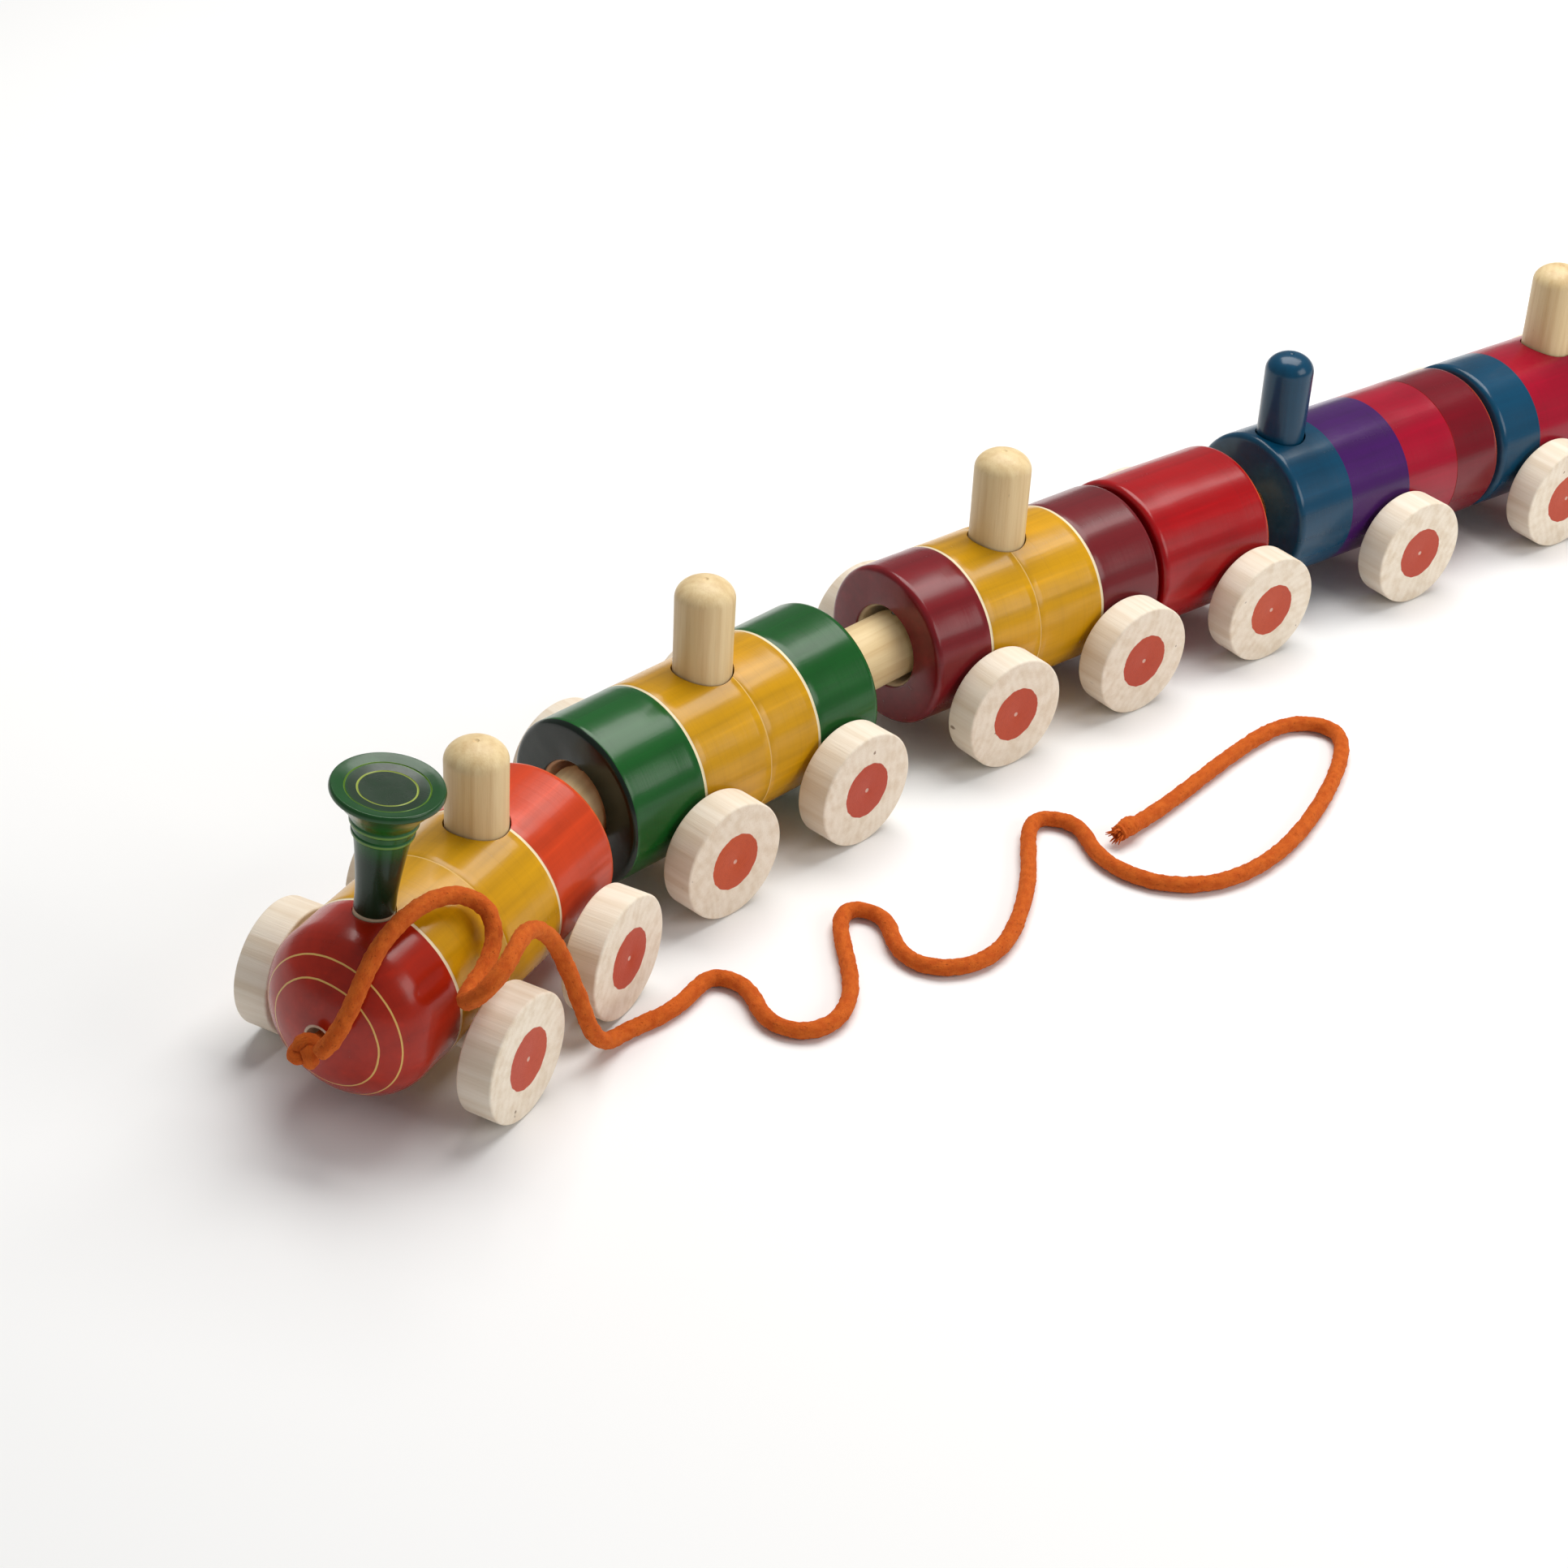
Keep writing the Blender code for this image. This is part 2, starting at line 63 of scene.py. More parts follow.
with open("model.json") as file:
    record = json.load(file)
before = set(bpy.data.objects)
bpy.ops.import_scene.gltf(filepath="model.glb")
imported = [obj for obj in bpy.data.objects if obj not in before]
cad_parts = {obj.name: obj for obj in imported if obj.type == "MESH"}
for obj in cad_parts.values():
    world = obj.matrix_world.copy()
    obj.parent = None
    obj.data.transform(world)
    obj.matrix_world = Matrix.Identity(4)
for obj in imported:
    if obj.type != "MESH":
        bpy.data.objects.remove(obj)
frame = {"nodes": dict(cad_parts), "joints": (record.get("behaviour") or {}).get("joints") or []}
CAD_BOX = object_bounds()
JOINTS = {joint["name"]: joint for joint in frame["joints"]}
VEHICLES = ("engine", "green_wagon", "maroon_wagon", "red_tender", "blue_coach", "tail_coach")
MM = 1000.0
SNUG = 0.0003                # room around a piece that is glued in its hole
AXLE_PLAY = 0.0006           # room around an axle that turns in a body
PIN_HOLE = 0.0016            # radius of the holes for the coupling pins


def shade(red, green, blue):
    """The linear colour of three display values from 0 to 255."""
    return tuple((v / 255 / 12.92) if v <= 10 else ((v / 255 + 0.055) / 1.055) ** 2.4
                 for v in (red, green, blue))


# Bands of lacquer from rear to front: (where the band ends in front, in mm ahead of the front
# axle, colour), and turned lines: (where, width in mm, colour).
BANDS = {
    # The rim band at the engine's rear is a painted highlight on its rear rim.
    "engine": ((-67.0, "rim"), (-40.0, "ember"), (7.6, "yellow"), (99.0, "red")),
    # The green wagon's last band, over its front face, is painted shade in dark green.
    "green_wagon": ((-45.4, "green"), (0.0, "yellow"), (25.9, "green"), (99.0, "painted_shade_green")),
    # The maroon wagon's dark rear band is a painted shadow of the gap at its rear rim.
    "maroon_wagon": ((-70.2, "painted_gap_shadow_maroon"), (-45.4, "dull_maroon"), (0.0, "yellow"),
                     (99.0, "maroon")),
    # The tender's rim band is a painted highlight on its rear rim.
    "red_tender": ((-8.0, "rim"), (99.0, "cherry")),
    # The coach's rim band is a painted highlight on its rear rim.
    "blue_coach": ((-46.0, "rim"), (-27.0, "wine"), (-4.5, "crimson"), (21.6, "purple"),
                   (99.0, "blue")),
    "tail_coach": ((-45.4, "blue"), (3.4, "crimson"), (99.0, "blue")),
}
LINES = {
    "engine": ((-40.0, 0.9, "cream"), (-15.3, 0.45, "straw"), (7.6, 1.0, "cream"),
               (27.9, 0.34, "straw"), (31.45, 0.24, "straw")),
    "green_wagon": ((-45.4, 0.95, "cream"), (-25.8, 0.45, "straw"), (0.0, 0.95, "cream")),
    "maroon_wagon": ((-45.4, 0.95, "cream"), (-19.7, 0.45, "straw"), (0.0, 0.95, "cream")),
    "red_tender": (),
    "blue_coach": ((-27.0, 0.3, "cherry"),),
    "tail_coach": (),
}

# The cord's route from the nose knot to its free end, as the points that pull its curve.
CORD_ROUTE = (
    (-0.2993, -0.0176, 0.0342), (-0.2981, -0.0204, 0.0376), (-0.2930, -0.0214, 0.0450),
    (-0.2877, -0.0204, 0.0522), (-0.2797, -0.0174, 0.0574), (-0.2687, -0.0142, 0.0586),
    (-0.2587, -0.0122, 0.0580), (-0.2492, -0.0130, 0.0558), (-0.2446, -0.0186, 0.0516),
    (-0.2473, -0.0236, 0.0468), (-0.2532, -0.0274, 0.0434), (-0.2607, -0.0298, 0.0414),
    (-0.2685, -0.0344, 0.0422), (-0.2683, -0.0426, 0.0494), (-0.2587, -0.0418, 0.0548),
    (-0.2502, -0.0362, 0.0552), (-0.2412, -0.0308, 0.0510), (-0.2333, -0.0290, 0.0435),
    (-0.2301, -0.0314, 0.0335), (-0.2285, -0.0354, 0.0225), (-0.2255, -0.0366, 0.0110),
    (-0.2187, -0.0354, 0.0042), (-0.2092, -0.0330, 0.0026), (-0.1967, -0.0356, 0.0026),
    (-0.1842, -0.0330, 0.0026), (-0.1752, -0.0300, 0.0026), (-0.1712, -0.0420, 0.0026),
    (-0.1797, -0.0530, 0.0026), (-0.1772, -0.0650, 0.0026), (-0.1662, -0.0690, 0.0026),
    (-0.1532, -0.0628, 0.0026), (-0.1427, -0.0505, 0.0026), (-0.1342, -0.0390, 0.0026),
    (-0.1252, -0.0330, 0.0026), (-0.1192, -0.0445, 0.0026), (-0.1292, -0.0545, 0.0026),
    (-0.1312, -0.0665, 0.0026), (-0.1222, -0.0756, 0.0026), (-0.1082, -0.0772, 0.0026),
    (-0.0912, -0.0692, 0.0026), (-0.0742, -0.0580, 0.0026), (-0.0613, -0.0456, 0.0026),
    (-0.0507, -0.0388, 0.0026), (-0.0432, -0.0510, 0.0026), (-0.0517, -0.0615, 0.0026),
    (-0.0542, -0.0730, 0.0026), (-0.0517, -0.0840, 0.0026), (-0.0442, -0.0935, 0.0026),
    (-0.0307, -0.0998, 0.0026), (-0.0087, -0.1000, 0.0026), (0.0173, -0.0930, 0.0026),
    (0.0408, -0.0835, 0.0026), (0.0573, -0.0726, 0.0026), (0.0503, -0.0596, 0.0026),
    (0.0358, -0.0570, 0.0026), (0.0103, -0.0590, 0.0026), (-0.0167, -0.0622, 0.0026),
    (-0.0347, -0.0630, 0.0032),
)
CORD_RINGS = 1400


# ---------------------------------------------------------------- where things are
class Vehicle:
    """A vehicle's frame, read from its front wheels' hinge, and the sizes of its nodes in it."""

    def __init__(self, name):
        joint = JOINTS[name + "_front_wheels_roll"]
        left = Vector(joint["axis"])
        forward = Vector((left.y, -left.x, 0.0))
        self.name = name
        self.place = Matrix((forward, left, Vector((0.0, 0.0, 1.0)))).transposed().to_4x4()
        self.place.translation = Vector((joint["pos_m"][0], joint["pos_m"][1], 0.0))
        low, high = self.size(name + "_body")
        self.rear, self.front = low.x, high.x
        self.axis_height = (low.z + high.z) / 2
        self.radius = self.reach(name + "_body", self.axis_height)

    def points(self, node):
        """The vertices of a CAD node in the vehicle's frame."""
        mesh = frame["nodes"][node].data
        flat = np.empty(len(mesh.vertices) * 3)
        mesh.vertices.foreach_get("co", flat)
        inverse = np.array(self.place.inverted())
        return flat.reshape(-1, 3) @ inverse[:3, :3].T + inverse[:3, 3]

    def size(self, node):
        spots = self.points(node)
        return Vector(spots.min(0)), Vector(spots.max(0))

    def reach(self, node, height):
        """The largest distance of a node's surface from the line at that height."""
        spots = self.points(node)
        return float(np.hypot(spots[:, 1], spots[:, 2] - height).max())

    def along(self, height):
        """Lays a piece that is turned about Z along the vehicle at that height, Z forward."""
        return (self.place @ Matrix.Translation((0.0, 0.0, height))
                @ Matrix.Rotation(math.pi / 2, 4, "Y"))

    def upright(self, ahead, height=0.0):
        return self.place @ Matrix.Translation((ahead, 0.0, height))


def joint_spot(vehicle, name):
    """Where a joint stands in a vehicle's frame."""
    return vehicle.place.inverted() @ Vector(JOINTS[name]["pos_m"])


# ---------------------------------------------------------------- shape helpers
def outline_dome(radius, top, height, start=0.0, steps=18):
    """Points of an elliptical dome from its crown to its foot."""
    return [(radius * math.sin(angle), top - height * (1 - math.cos(angle)))
            for angle in (start + (math.pi / 2 - start) * step / steps
                          for step in range(steps + 1))]


def eased(points, steps):
    """A smooth line through outline points, by Catmull-Rom."""
    ends = [points[0]] + list(points) + [points[-1]]
    line = []
    for index in range(1, len(ends) - 2):
        before, here, there, after = (Vector(p) for p in ends[index - 1:index + 3])
        for step in range(steps):
            t = step / steps
            line.append(tuple(0.5 * (2 * here + (there - before) * t
                                     + (2 * before - 5 * here + 4 * there - after) * t ** 2
                                     + (3 * here - before - 3 * there + after) * t ** 3)))
    line.append(tuple(points[-1]))
    return line


def lathe(outline, sides, wobble=0.0, seed=0):
    """Spins (radius, height) points about Z. A third number rounds that corner."""
    shape = bmesh.new()
    corners = [shape.verts.new((point[0], 0.0, point[1])) for point in outline]
    for first, second in zip(corners, corners[1:]):
        shape.edges.new((first, second))
    for corner, point in zip(corners, outline):
        if len(point) > 2:
            bmesh.ops.bevel(shape, geom=[corner], offset=point[2], offset_type="OFFSET",
                            segments=4, profile=0.5, affect="VERTICES", material=-1)
    bmesh.ops.spin(shape, geom=shape.verts[:] + shape.edges[:], cent=(0.0, 0.0, 0.0),
                   axis=(0.0, 0.0, 1.0), angle=2 * math.pi, steps=sides, use_merge=True)
    bmesh.ops.remove_doubles(shape, verts=shape.verts, dist=1e-6)
    bmesh.ops.recalc_face_normals(shape, faces=shape.faces)
    if wobble:
        for vert in shape.verts:
            spot = Vector((vert.co.x, vert.co.y, vert.co.z)) * 90.0
            dent = 0.5 + 0.5 * noise.noise(spot + Vector((seed * 7.3, seed * 3.1, 0.0)))
            vert.co.x *= 1.0 - wobble * dent
            vert.co.y *= 1.0 - wobble * dent
    return shape


def rod(shape, place, radius, length, sides=40):
    """Adds a plain cylinder centred on a place, as a cutter."""
    bmesh.ops.create_cone(shape, cap_ends=True, segments=sides, radius1=radius, radius2=radius,
                          depth=length, matrix=place)


def new_object(name, shape):
    mesh = bpy.data.meshes.new(name)
    shape.to_mesh(mesh)
    shape.free()
    made = bpy.data.objects.new(name, mesh)
    bpy.context.scene.collection.objects.link(made)
    return made


def carve(piece, cutter):
    """Cuts a bmesh of closed cutters out of a piece and keeps the result as its mesh."""
    tool = new_object("cutter", cutter)
    cut = piece.modifiers.new("bores", "BOOLEAN")
    cut.operation = "DIFFERENCE"
    cut.solver = "EXACT"
    cut.object = tool
    graph = bpy.context.evaluated_depsgraph_get()
    graph.update()
    carved = bpy.data.meshes.new_from_object(piece.evaluated_get(graph))
    piece.modifiers.clear()
    old = piece.data
    piece.data = carved
    carved.name = piece.name
    bpy.data.meshes.remove(old)
    bpy.data.objects.remove(tool)


def shade_soft(mesh, angle=math.radians(38)):
    """Smooth faces, with the edges that turn more than the angle kept crisp."""
    shape = bmesh.new()
    shape.from_mesh(mesh)
    for face in shape.faces:
        face.smooth = True
    for edge in shape.edges:
        edge.smooth = edge.calc_face_angle(0.0) < angle
    shape.to_mesh(mesh)
    shape.free()


def mark(piece, lathe_place, seed):
    """Writes two attributes in mm: "turning", in the piece's lathe frame, and "grain", the same
    moved and turned to a different spot of the plank for each piece."""
    mesh = piece.data
    count = len(mesh.vertices)
    flat = np.empty(count * 3, np.float32)
    mesh.vertices.foreach_get("co", flat)
    inverse = np.array(lathe_place.inverted())
    turning = (flat.reshape(-1, 3) @ inverse[:3, :3].T + inverse[:3, 3]) * MM
    dice = random.Random(seed)
    spin = dice.uniform(0.0, 2 * math.pi)
    turn = np.array(Matrix.Rotation(spin, 3, "Z"))
    shift = np.array((dice.uniform(30.0, 75.0), dice.uniform(-8.0, 8.0),
                      dice.uniform(-400.0, 400.0)))
    for name, values in (("turning", turning), ("grain", turning @ turn.T + shift)):
        layer = mesh.attributes.new(name, "FLOAT_VECTOR", "POINT")
        layer.data.foreach_set("vector", values.astype(np.float32).ravel())


def declare(piece, finish, body, node):
    """Gives a piece its material, and says which body it goes with and which node it replaces."""
    piece.data.materials.clear()
    piece.data.materials.append(finish)
    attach(piece, body)
    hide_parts(node)


def settle(name, shape, place, finish, body, node, seed):
    piece = lay(name, shape, place)
    dress(piece, place, finish, body, node, seed)


def lay(name, shape, place):
    bmesh.ops.transform(shape, matrix=place, verts=shape.verts)
    return new_object(name, shape)


def dress(piece, place, finish, body, node, seed):
    shade_soft(piece.data)
    mark(piece, place, seed)
    declare(piece, finish, body, node)


# ---------------------------------------------------------------- shader helpers
class Reading:
    """A shader socket that Python expressions work on, one Math node for each operator."""

    def __init__(self, finish, socket):
        self.finish = finish
        self.socket = socket

    def maths(self, operation, first, second=0.0):
        return self.finish.node("Math", {"operation": operation}, {0: first, 1: second})

    def __add__(self, other):
        return self.maths("ADD", self, other)

    def __radd__(self, other):
        return self.maths("ADD", other, self)

    def __sub__(self, other):
        return self.maths("SUBTRACT", self, other)

    def __rsub__(self, other):
        return self.maths("SUBTRACT", other, self)

    def __mul__(self, other):
        return self.maths("MULTIPLY", self, other)

    def __rmul__(self, other):
        return self.maths("MULTIPLY", other, self)

    def __abs__(self):
        return self.maths("ABSOLUTE", self)

    def wave(self, length):
        """A sine of the reading, from 0 to 1, that repeats at each length."""
        return self.maths("SINE", self * (2 * math.pi / length)) * 0.5 + 0.5

    def least(self, other):
        return self.maths("MINIMUM", self, other)

    def most(self, other):
        return self.maths("MAXIMUM", self, other)

    def rise(self, low, high):
        """0 below low, 1 above high and smooth between. It falls where low is above high."""
        return self.finish.node("MapRange", {"interpolation_type": "SMOOTHSTEP"},
                                {"Value": self, "From Min": low, "From Max": high})


class Finish:
    """A material in the making: a Principled shader and the nodes that feed it."""

    def __init__(self, name):
        self.material = bpy.data.materials.new(name)
        self.material.use_nodes = True
        self.tree = self.material.node_tree
        self.shader = self.tree.nodes["Principled BSDF"]

    def node(self, kind, settings=None, inputs=None, output=0):
        """Adds a node, sets its settings, then feeds its sockets with values or readings."""
        made = self.tree.nodes.new("ShaderNode" + kind)
        for key, value in (settings or {}).items():
            if key == "stops":
                self.set_stops(made.color_ramp, *value)
            else:
                setattr(made, key, value)
        for key, value in (inputs or {}).items():
            self.feed(made.inputs[key], value)
        return Reading(self, made.outputs[output])

    def set_stops(self, ramp, blending, stops):
        ramp.interpolation = blending
        while len(ramp.elements) < len(stops):
            ramp.elements.new(1.0)
        for element, (position, colour) in zip(ramp.elements, stops):
            element.position = position
            element.color = (*colour, 1.0)

    def feed(self, socket, value):
        if isinstance(value, Reading):
            self.tree.links.new(value.socket, socket)
        elif socket.type == "RGBA":
            socket.default_value = (*value[:3], 1.0)
        else:
            socket.default_value = value

    def place(self, name):
        """The vector of one of the piece's own attributes."""
        return self.node("Attribute", {"attribute_name": name}, output=1)

    def stretch(self, vector, scale):
        return self.node("VectorMath", {"operation": "MULTIPLY"}, {0: vector, 1: scale})

    def parts(self, vector):
        split = self.node("SeparateXYZ", None, {0: vector})
        outputs = split.socket.node.outputs
        return tuple(Reading(self, outputs[index]) for index in range(3))

    def radius(self, vector):
        flat = self.stretch(vector, (1.0, 1.0, 0.0))
        return self.node("VectorMath", {"operation": "LENGTH"}, {0: flat}, output=1)

    def noise(self, vector, scale, detail=2.0, roughness=0.5):
        """Noise with its own number of features a millimetre along each axis."""
        return self.node("TexNoise", {"noise_dimensions": "3D"},
                         {"Vector": self.stretch(vector, scale), "Scale": 1.0,
                          "Detail": detail, "Roughness": roughness})

    def mix(self, factor, first, second, blending="MIX"):
        return self.node("Mix", {"data_type": "RGBA", "blend_type": blending},
                         {0: factor, 6: first, 7: second}, output=2)

    def bump(self, height, distance, strength=1.0):
        """A bump whose height runs from 0 to 1 over that distance in metres."""
        return self.node("Bump", None, {"Strength": strength, "Distance": distance,
                                        "Height": height})

    def close(self, **sockets):
        """Feeds the shader and gives the material. Underscores stand for spaces."""
        for key, value in sockets.items():
            self.feed(self.shader.inputs[key.replace("_", " ")], value)
        return self.material


def wood_figure(finish, look, warm=False):
    """The colour and the height of pale turned wood, or of the warmer wood of the pegs."""
    pale, figure = (look.warm_pale, look.warm_figure) if warm else (look.pale, look.figure)
    grain = finish.place("grain")
    fine = finish.noise(grain, (1.9, 1.9, 0.06), 3.0, 0.6)
    broad = finish.noise(grain, (0.26, 0.26, 0.010), 2.0)
    drift = finish.noise(grain, (0.05, 0.05, 0.01), 1.0)
    rings = (finish.radius(grain) + drift * 9.0).wave(2.7)
    fleck_noise = finish.noise(grain, (0.30, 0.30, 0.14), 1.0, 0.4)
    flecks = fleck_noise.rise(0.775, 0.815)
    streak = fine.rise(0.40, 0.80) * 0.30 + broad.rise(0.36, 0.72) * 0.60 + rings * 0.20
    colour = finish.mix(streak.least(1.0) * look.figure_strength, pale, figure)
    colour = finish.mix(flecks * 0.75, colour, look.fleck)
    height = fine * 0.7 + rings * 0.1
    return colour, height


def make_wood(name, look, roughness=0.52, warm=False):
    finish = Finish(name)
    colour, height = wood_figure(finish, look, warm)
    rough = finish.noise(finish.place("grain"), (0.5, 0.5, 0.1)) * 0.2 + (roughness - 0.1)
    return finish.close(Base_Color=colour, Roughness=rough, Specular_IOR_Level=0.4,
                        Normal=finish.bump(height, 0.00018, 0.55))


def make_wheel_wood(look, lacquer):
    """Pale wood with an orange disc painted on the middle of the outer face."""
    finish = Finish("wheel_wood")
    colour, height = wood_figure(finish, look)
    turning = finish.place("turning")
    grain = finish.place("grain")
    radius = finish.radius(turning)
    _, _, depth = finish.parts(turning)
    ragged = radius + (finish.noise(turning, (0.35, 0.35, 0.35), 3.0) - 0.5) * 0.9
    outer = depth.rise(-1.2, -0.9)
    disc = ragged.rise(look.disc_radius * MM + 0.10, look.disc_radius * MM - 0.12) * outer
    wear = finish.noise(turning, (0.6, 0.6, 0.6), 5.0, 0.65)
    rings = (radius + wear * 0.5).wave(0.62)
    tone = finish.noise(grain, (0.012, 0.012, 0.004), 0.0)
    paint = finish.mix(tone.rise(0.30, 0.70), lacquer.disc_orange, lacquer.disc_red)
    paint = finish.mix(wear.rise(0.42, 0.80) * 0.35 + rings * 0.10, paint, lacquer.disc_dark)
    paint = finish.mix(radius.rise(0.85, 0.45) * 0.5, paint, look.pale)
    colour = finish.mix(disc, colour, paint)
    rough = 0.55 - disc * 0.10 + (wear - 0.5) * 0.15
    relief = height * (1.0 - disc * 0.6) + disc * 0.35 + rings * disc * 0.12
    return finish.close(Base_Color=colour, Roughness=rough, Specular_IOR_Level=0.4,
                        Normal=finish.bump(relief, 0.00018, 0.6))


def lacquer_surface(finish, colour, turning, look):
    """Glossy lacquer melted on in the lathe: streaks along the grain, fine turned rings."""
    grain = finish.place("grain")
    axial = finish.noise(grain, (0.24, 0.24, 0.010), 3.0, 0.6)
    cloud = finish.noise(grain, (0.045, 0.045, 0.03), 3.0, 0.55)
    turned = finish.noise(turning, (0.012, 0.012, 1.6), 2.0, 0.6)
    dark = axial.rise(0.42, 0.78) * 0.30 + cloud.rise(0.40, 0.75) * 0.30
    dark = (dark + turned.rise(0.45, 0.8) * 0.12) * look.streaks
    deep = finish.mix(1.0, colour, (0.42, 0.42, 0.42), "MULTIPLY")
    shaded = finish.mix(dark, colour, deep)
    bright = axial.rise(0.46, 0.20) * (0.50 * look.streaks)
    shaded = finish.mix(bright, shaded, finish.mix(1.0, colour, (1.4, 1.4, 1.4), "MULTIPLY"))
    rough = look.roughness + axial * 0.14 + turned * 0.06 - 0.08
    wavy = finish.noise(grain, (0.075, 0.075, 0.035), 1.0)
    surface = wavy * 0.85 + turned * 0.05 + axial * 0.10
    return shaded, rough, surface


def make_body_lacquer(vehicle, look, wood):
    """Bands and lines of lacquer on a turned body, with raw wood in its holes."""
    finish = Finish(vehicle.name + "_lacquer")
    turning = finish.place("turning")
    radius = finish.radius(turning)
    _, _, ahead = finish.parts(turning)
    waver = (finish.noise(turning, (0.10, 0.10, 0.10), 3.0, 0.6) - 0.5) * look.line_waver
    ahead = ahead + waver
    low, high = vehicle.rear * MM - 1.0, vehicle.front * MM + 1.0
    stops = []
    start = low
    for end, colour in BANDS[vehicle.name]:
        stops.append((max(start - low, 0.0) / (high - low), getattr(look, colour)))
        start = end
    ramp = {"stops": ("CONSTANT", stops)}
    share = (ahead - low) * (1.0 / (high - low))
    colour = finish.node("ValToRGB", ramp, {0: share})
    colour, rough, surface = lacquer_surface(finish, colour, turning, look)
    groove = None
    for spot, width, line in LINES[vehicle.name]:
        gap = abs(ahead - spot)
        thin = gap.rise(width * 0.56, width * 0.42)
        colour = finish.mix(thin * 0.92, colour, getattr(look, line))
        groove = thin if groove is None else groove.most(thin)
    bare, bare_height = wood_figure(finish, wood)
    raw = finish.mix(0.45, bare, wood.figure)
    hole = radius.rise(hole_radius(vehicle) * MM + 0.9, hole_radius(vehicle) * MM + 0.5)
    colour = finish.mix(hole, colour, raw)
    rough = rough + hole * 0.35
    if groove is not None:
        surface = surface - groove * 0.10
    shine = look.coat * (1.0 - hole)
    return finish.close(Base_Color=colour, Roughness=rough, Coat_Weight=shine,
                        Specular_IOR_Level=look.specular,
                        Coat_Roughness=look.coat_roughness,
                        Normal=finish.bump(surface, 0.0011, 0.42))


def make_plain_lacquer(name, colour, look):
    """One lacquer colour on a small turned piece."""
    finish = Finish(name)
    colour, rough, surface = lacquer_surface(finish, colour, finish.place("turning"), look)
    return finish.close(Base_Color=colour, Roughness=rough, Coat_Weight=look.coat,
                        Specular_IOR_Level=look.specular,
                        Coat_Roughness=look.coat_roughness,
                        Normal=finish.bump(surface, 0.0008, 0.4))


def make_funnel_lacquer(look, height):
    """Green lacquer, near black on the stem, with turned rings on the dished top and neck."""
    finish = Finish("funnel_lacquer")
    turning = finish.place("turning")
    radius = finish.radius(turning)
    _, _, up = finish.parts(turning)
    top = up.rise(height * MM - 2.2, height * MM - 2.0)
    centre = finish.mix(radius.rise(9.4, 11.2) * 0.6, look.moss, look.green)
    stem = finish.mix(up.rise(0.44 * height * MM, 0.64 * height * MM), look.deep_green,
                      look.green)
    stem = finish.mix(up.rise(0.80 * height * MM, 0.92 * height * MM) * 0.45, stem,
                      look.moss)
    colour = finish.mix(top, stem, centre)
    colour, rough, surface = lacquer_surface(finish, colour, turning, look)
    waver = (finish.noise(turning, (0.12, 0.12, 0.12), 2.0) - 0.5) * 0.5
    for spot, width, line, strength in ((10.7, 0.42, look.leaf, 0.75), (7.5, 0.50, look.lime, 0.9)):
        ring = abs(radius + waver - spot).rise(width * 0.6, width * 0.4) * top
        colour = finish.mix(ring * strength, colour, line)
    for share in (0.64, 0.73):
        ring = abs(up - share * height * MM).rise(0.42, 0.25) * (1.0 - top)
        colour = finish.mix(ring * 0.55, colour, look.leaf)
    foot = up.rise(0.75, 0.45)
    colour = finish.mix(foot * 0.85, colour, look.cream)
    return finish.close(Base_Color=colour, Roughness=rough, Coat_Weight=look.coat,
                        Specular_IOR_Level=look.specular,
                        Coat_Roughness=look.coat_roughness,
                        Normal=finish.bump(surface, 0.0008, 0.4))


def make_steel():
    finish = Finish("pin_steel")
    drawn = finish.noise(finish.place("turning"), (6.0, 6.0, 0.15), 3.0)
    colour = finish.mix(drawn.rise(0.3, 0.8), (0.60, 0.60, 0.61), (0.38, 0.38, 0.40))
    return finish.close(Base_Color=colour, Roughness=drawn * 0.2 + 0.25, Metallic=1.0,
                        Normal=finish.bump(drawn, 0.00003, 0.4))


def make_cotton(look):
    """Soft dyed cotton: matted fibres along the cord, darker pits and paler fuzz."""
    finish = Finish("cord_cotton")
    thread = finish.place("thread")
    fibres = finish.noise(thread, (0.9, 3.4, 3.4), 4.0, 0.7)
    mat = finish.noise(thread, (2.4, 2.4, 2.4), 4.0, 0.75)
    clumps = finish.noise(thread, (0.30, 0.45, 0.45), 3.0, 0.6)
    pits = finish.noise(thread, (1.1, 1.5, 1.5), 2.0).rise(0.60, 0.76)
    colour = finish.mix(clumps.rise(0.32, 0.70), look.bright, look.deep)
    colour = finish.mix(mat.rise(0.50, 0.80) * 0.65, colour, look.pit)
    colour = finish.mix(pits * 0.60, colour, look.pit)
    colour = finish.mix(fibres.rise(0.56, 0.82) * 0.50, colour, look.fuzz)
    height = mat * 0.6 + fibres * 0.5 - pits * 0.35
    return finish.close(Base_Color=colour, Roughness=0.95, Specular_IOR_Level=0.15,
                        Sheen_Weight=0.35, Sheen_Roughness=0.6,
                        Sheen_Tint=(*look.fuzz, 1.0),
                        Normal=finish.bump(height, 0.0005, 0.85))


def make_floor(look):
    finish = Finish("studio_floor")
    spot = finish.node("TexCoord", output=3)
    mottle = finish.noise(spot, (3.0, 3.0, 3.0), 3.0)
    colour = finish.mix(mottle * 0.25, look.floor, tuple(0.94 * part for part in look.floor))
    return finish.close(Base_Color=colour, Roughness=0.75, Specular_IOR_Level=0.2)


# ---------------------------------------------------------------- sizes and colours
def colour_property(name, value, text):
    return bpy.props.FloatVectorProperty(name=name, description=text, subtype="COLOR", size=3,
                                         min=0.0, max=1.0, default=value)


def length_property(name, value, text):
    return bpy.props.FloatProperty(name=name, description=text, subtype="DISTANCE",
                                   unit="LENGTH", min=0.0, default=value)


def share_property(name, value, text):
    return bpy.props.FloatProperty(name=name, description=text, subtype="FACTOR", min=0.0,
                                   max=2.0, default=value)


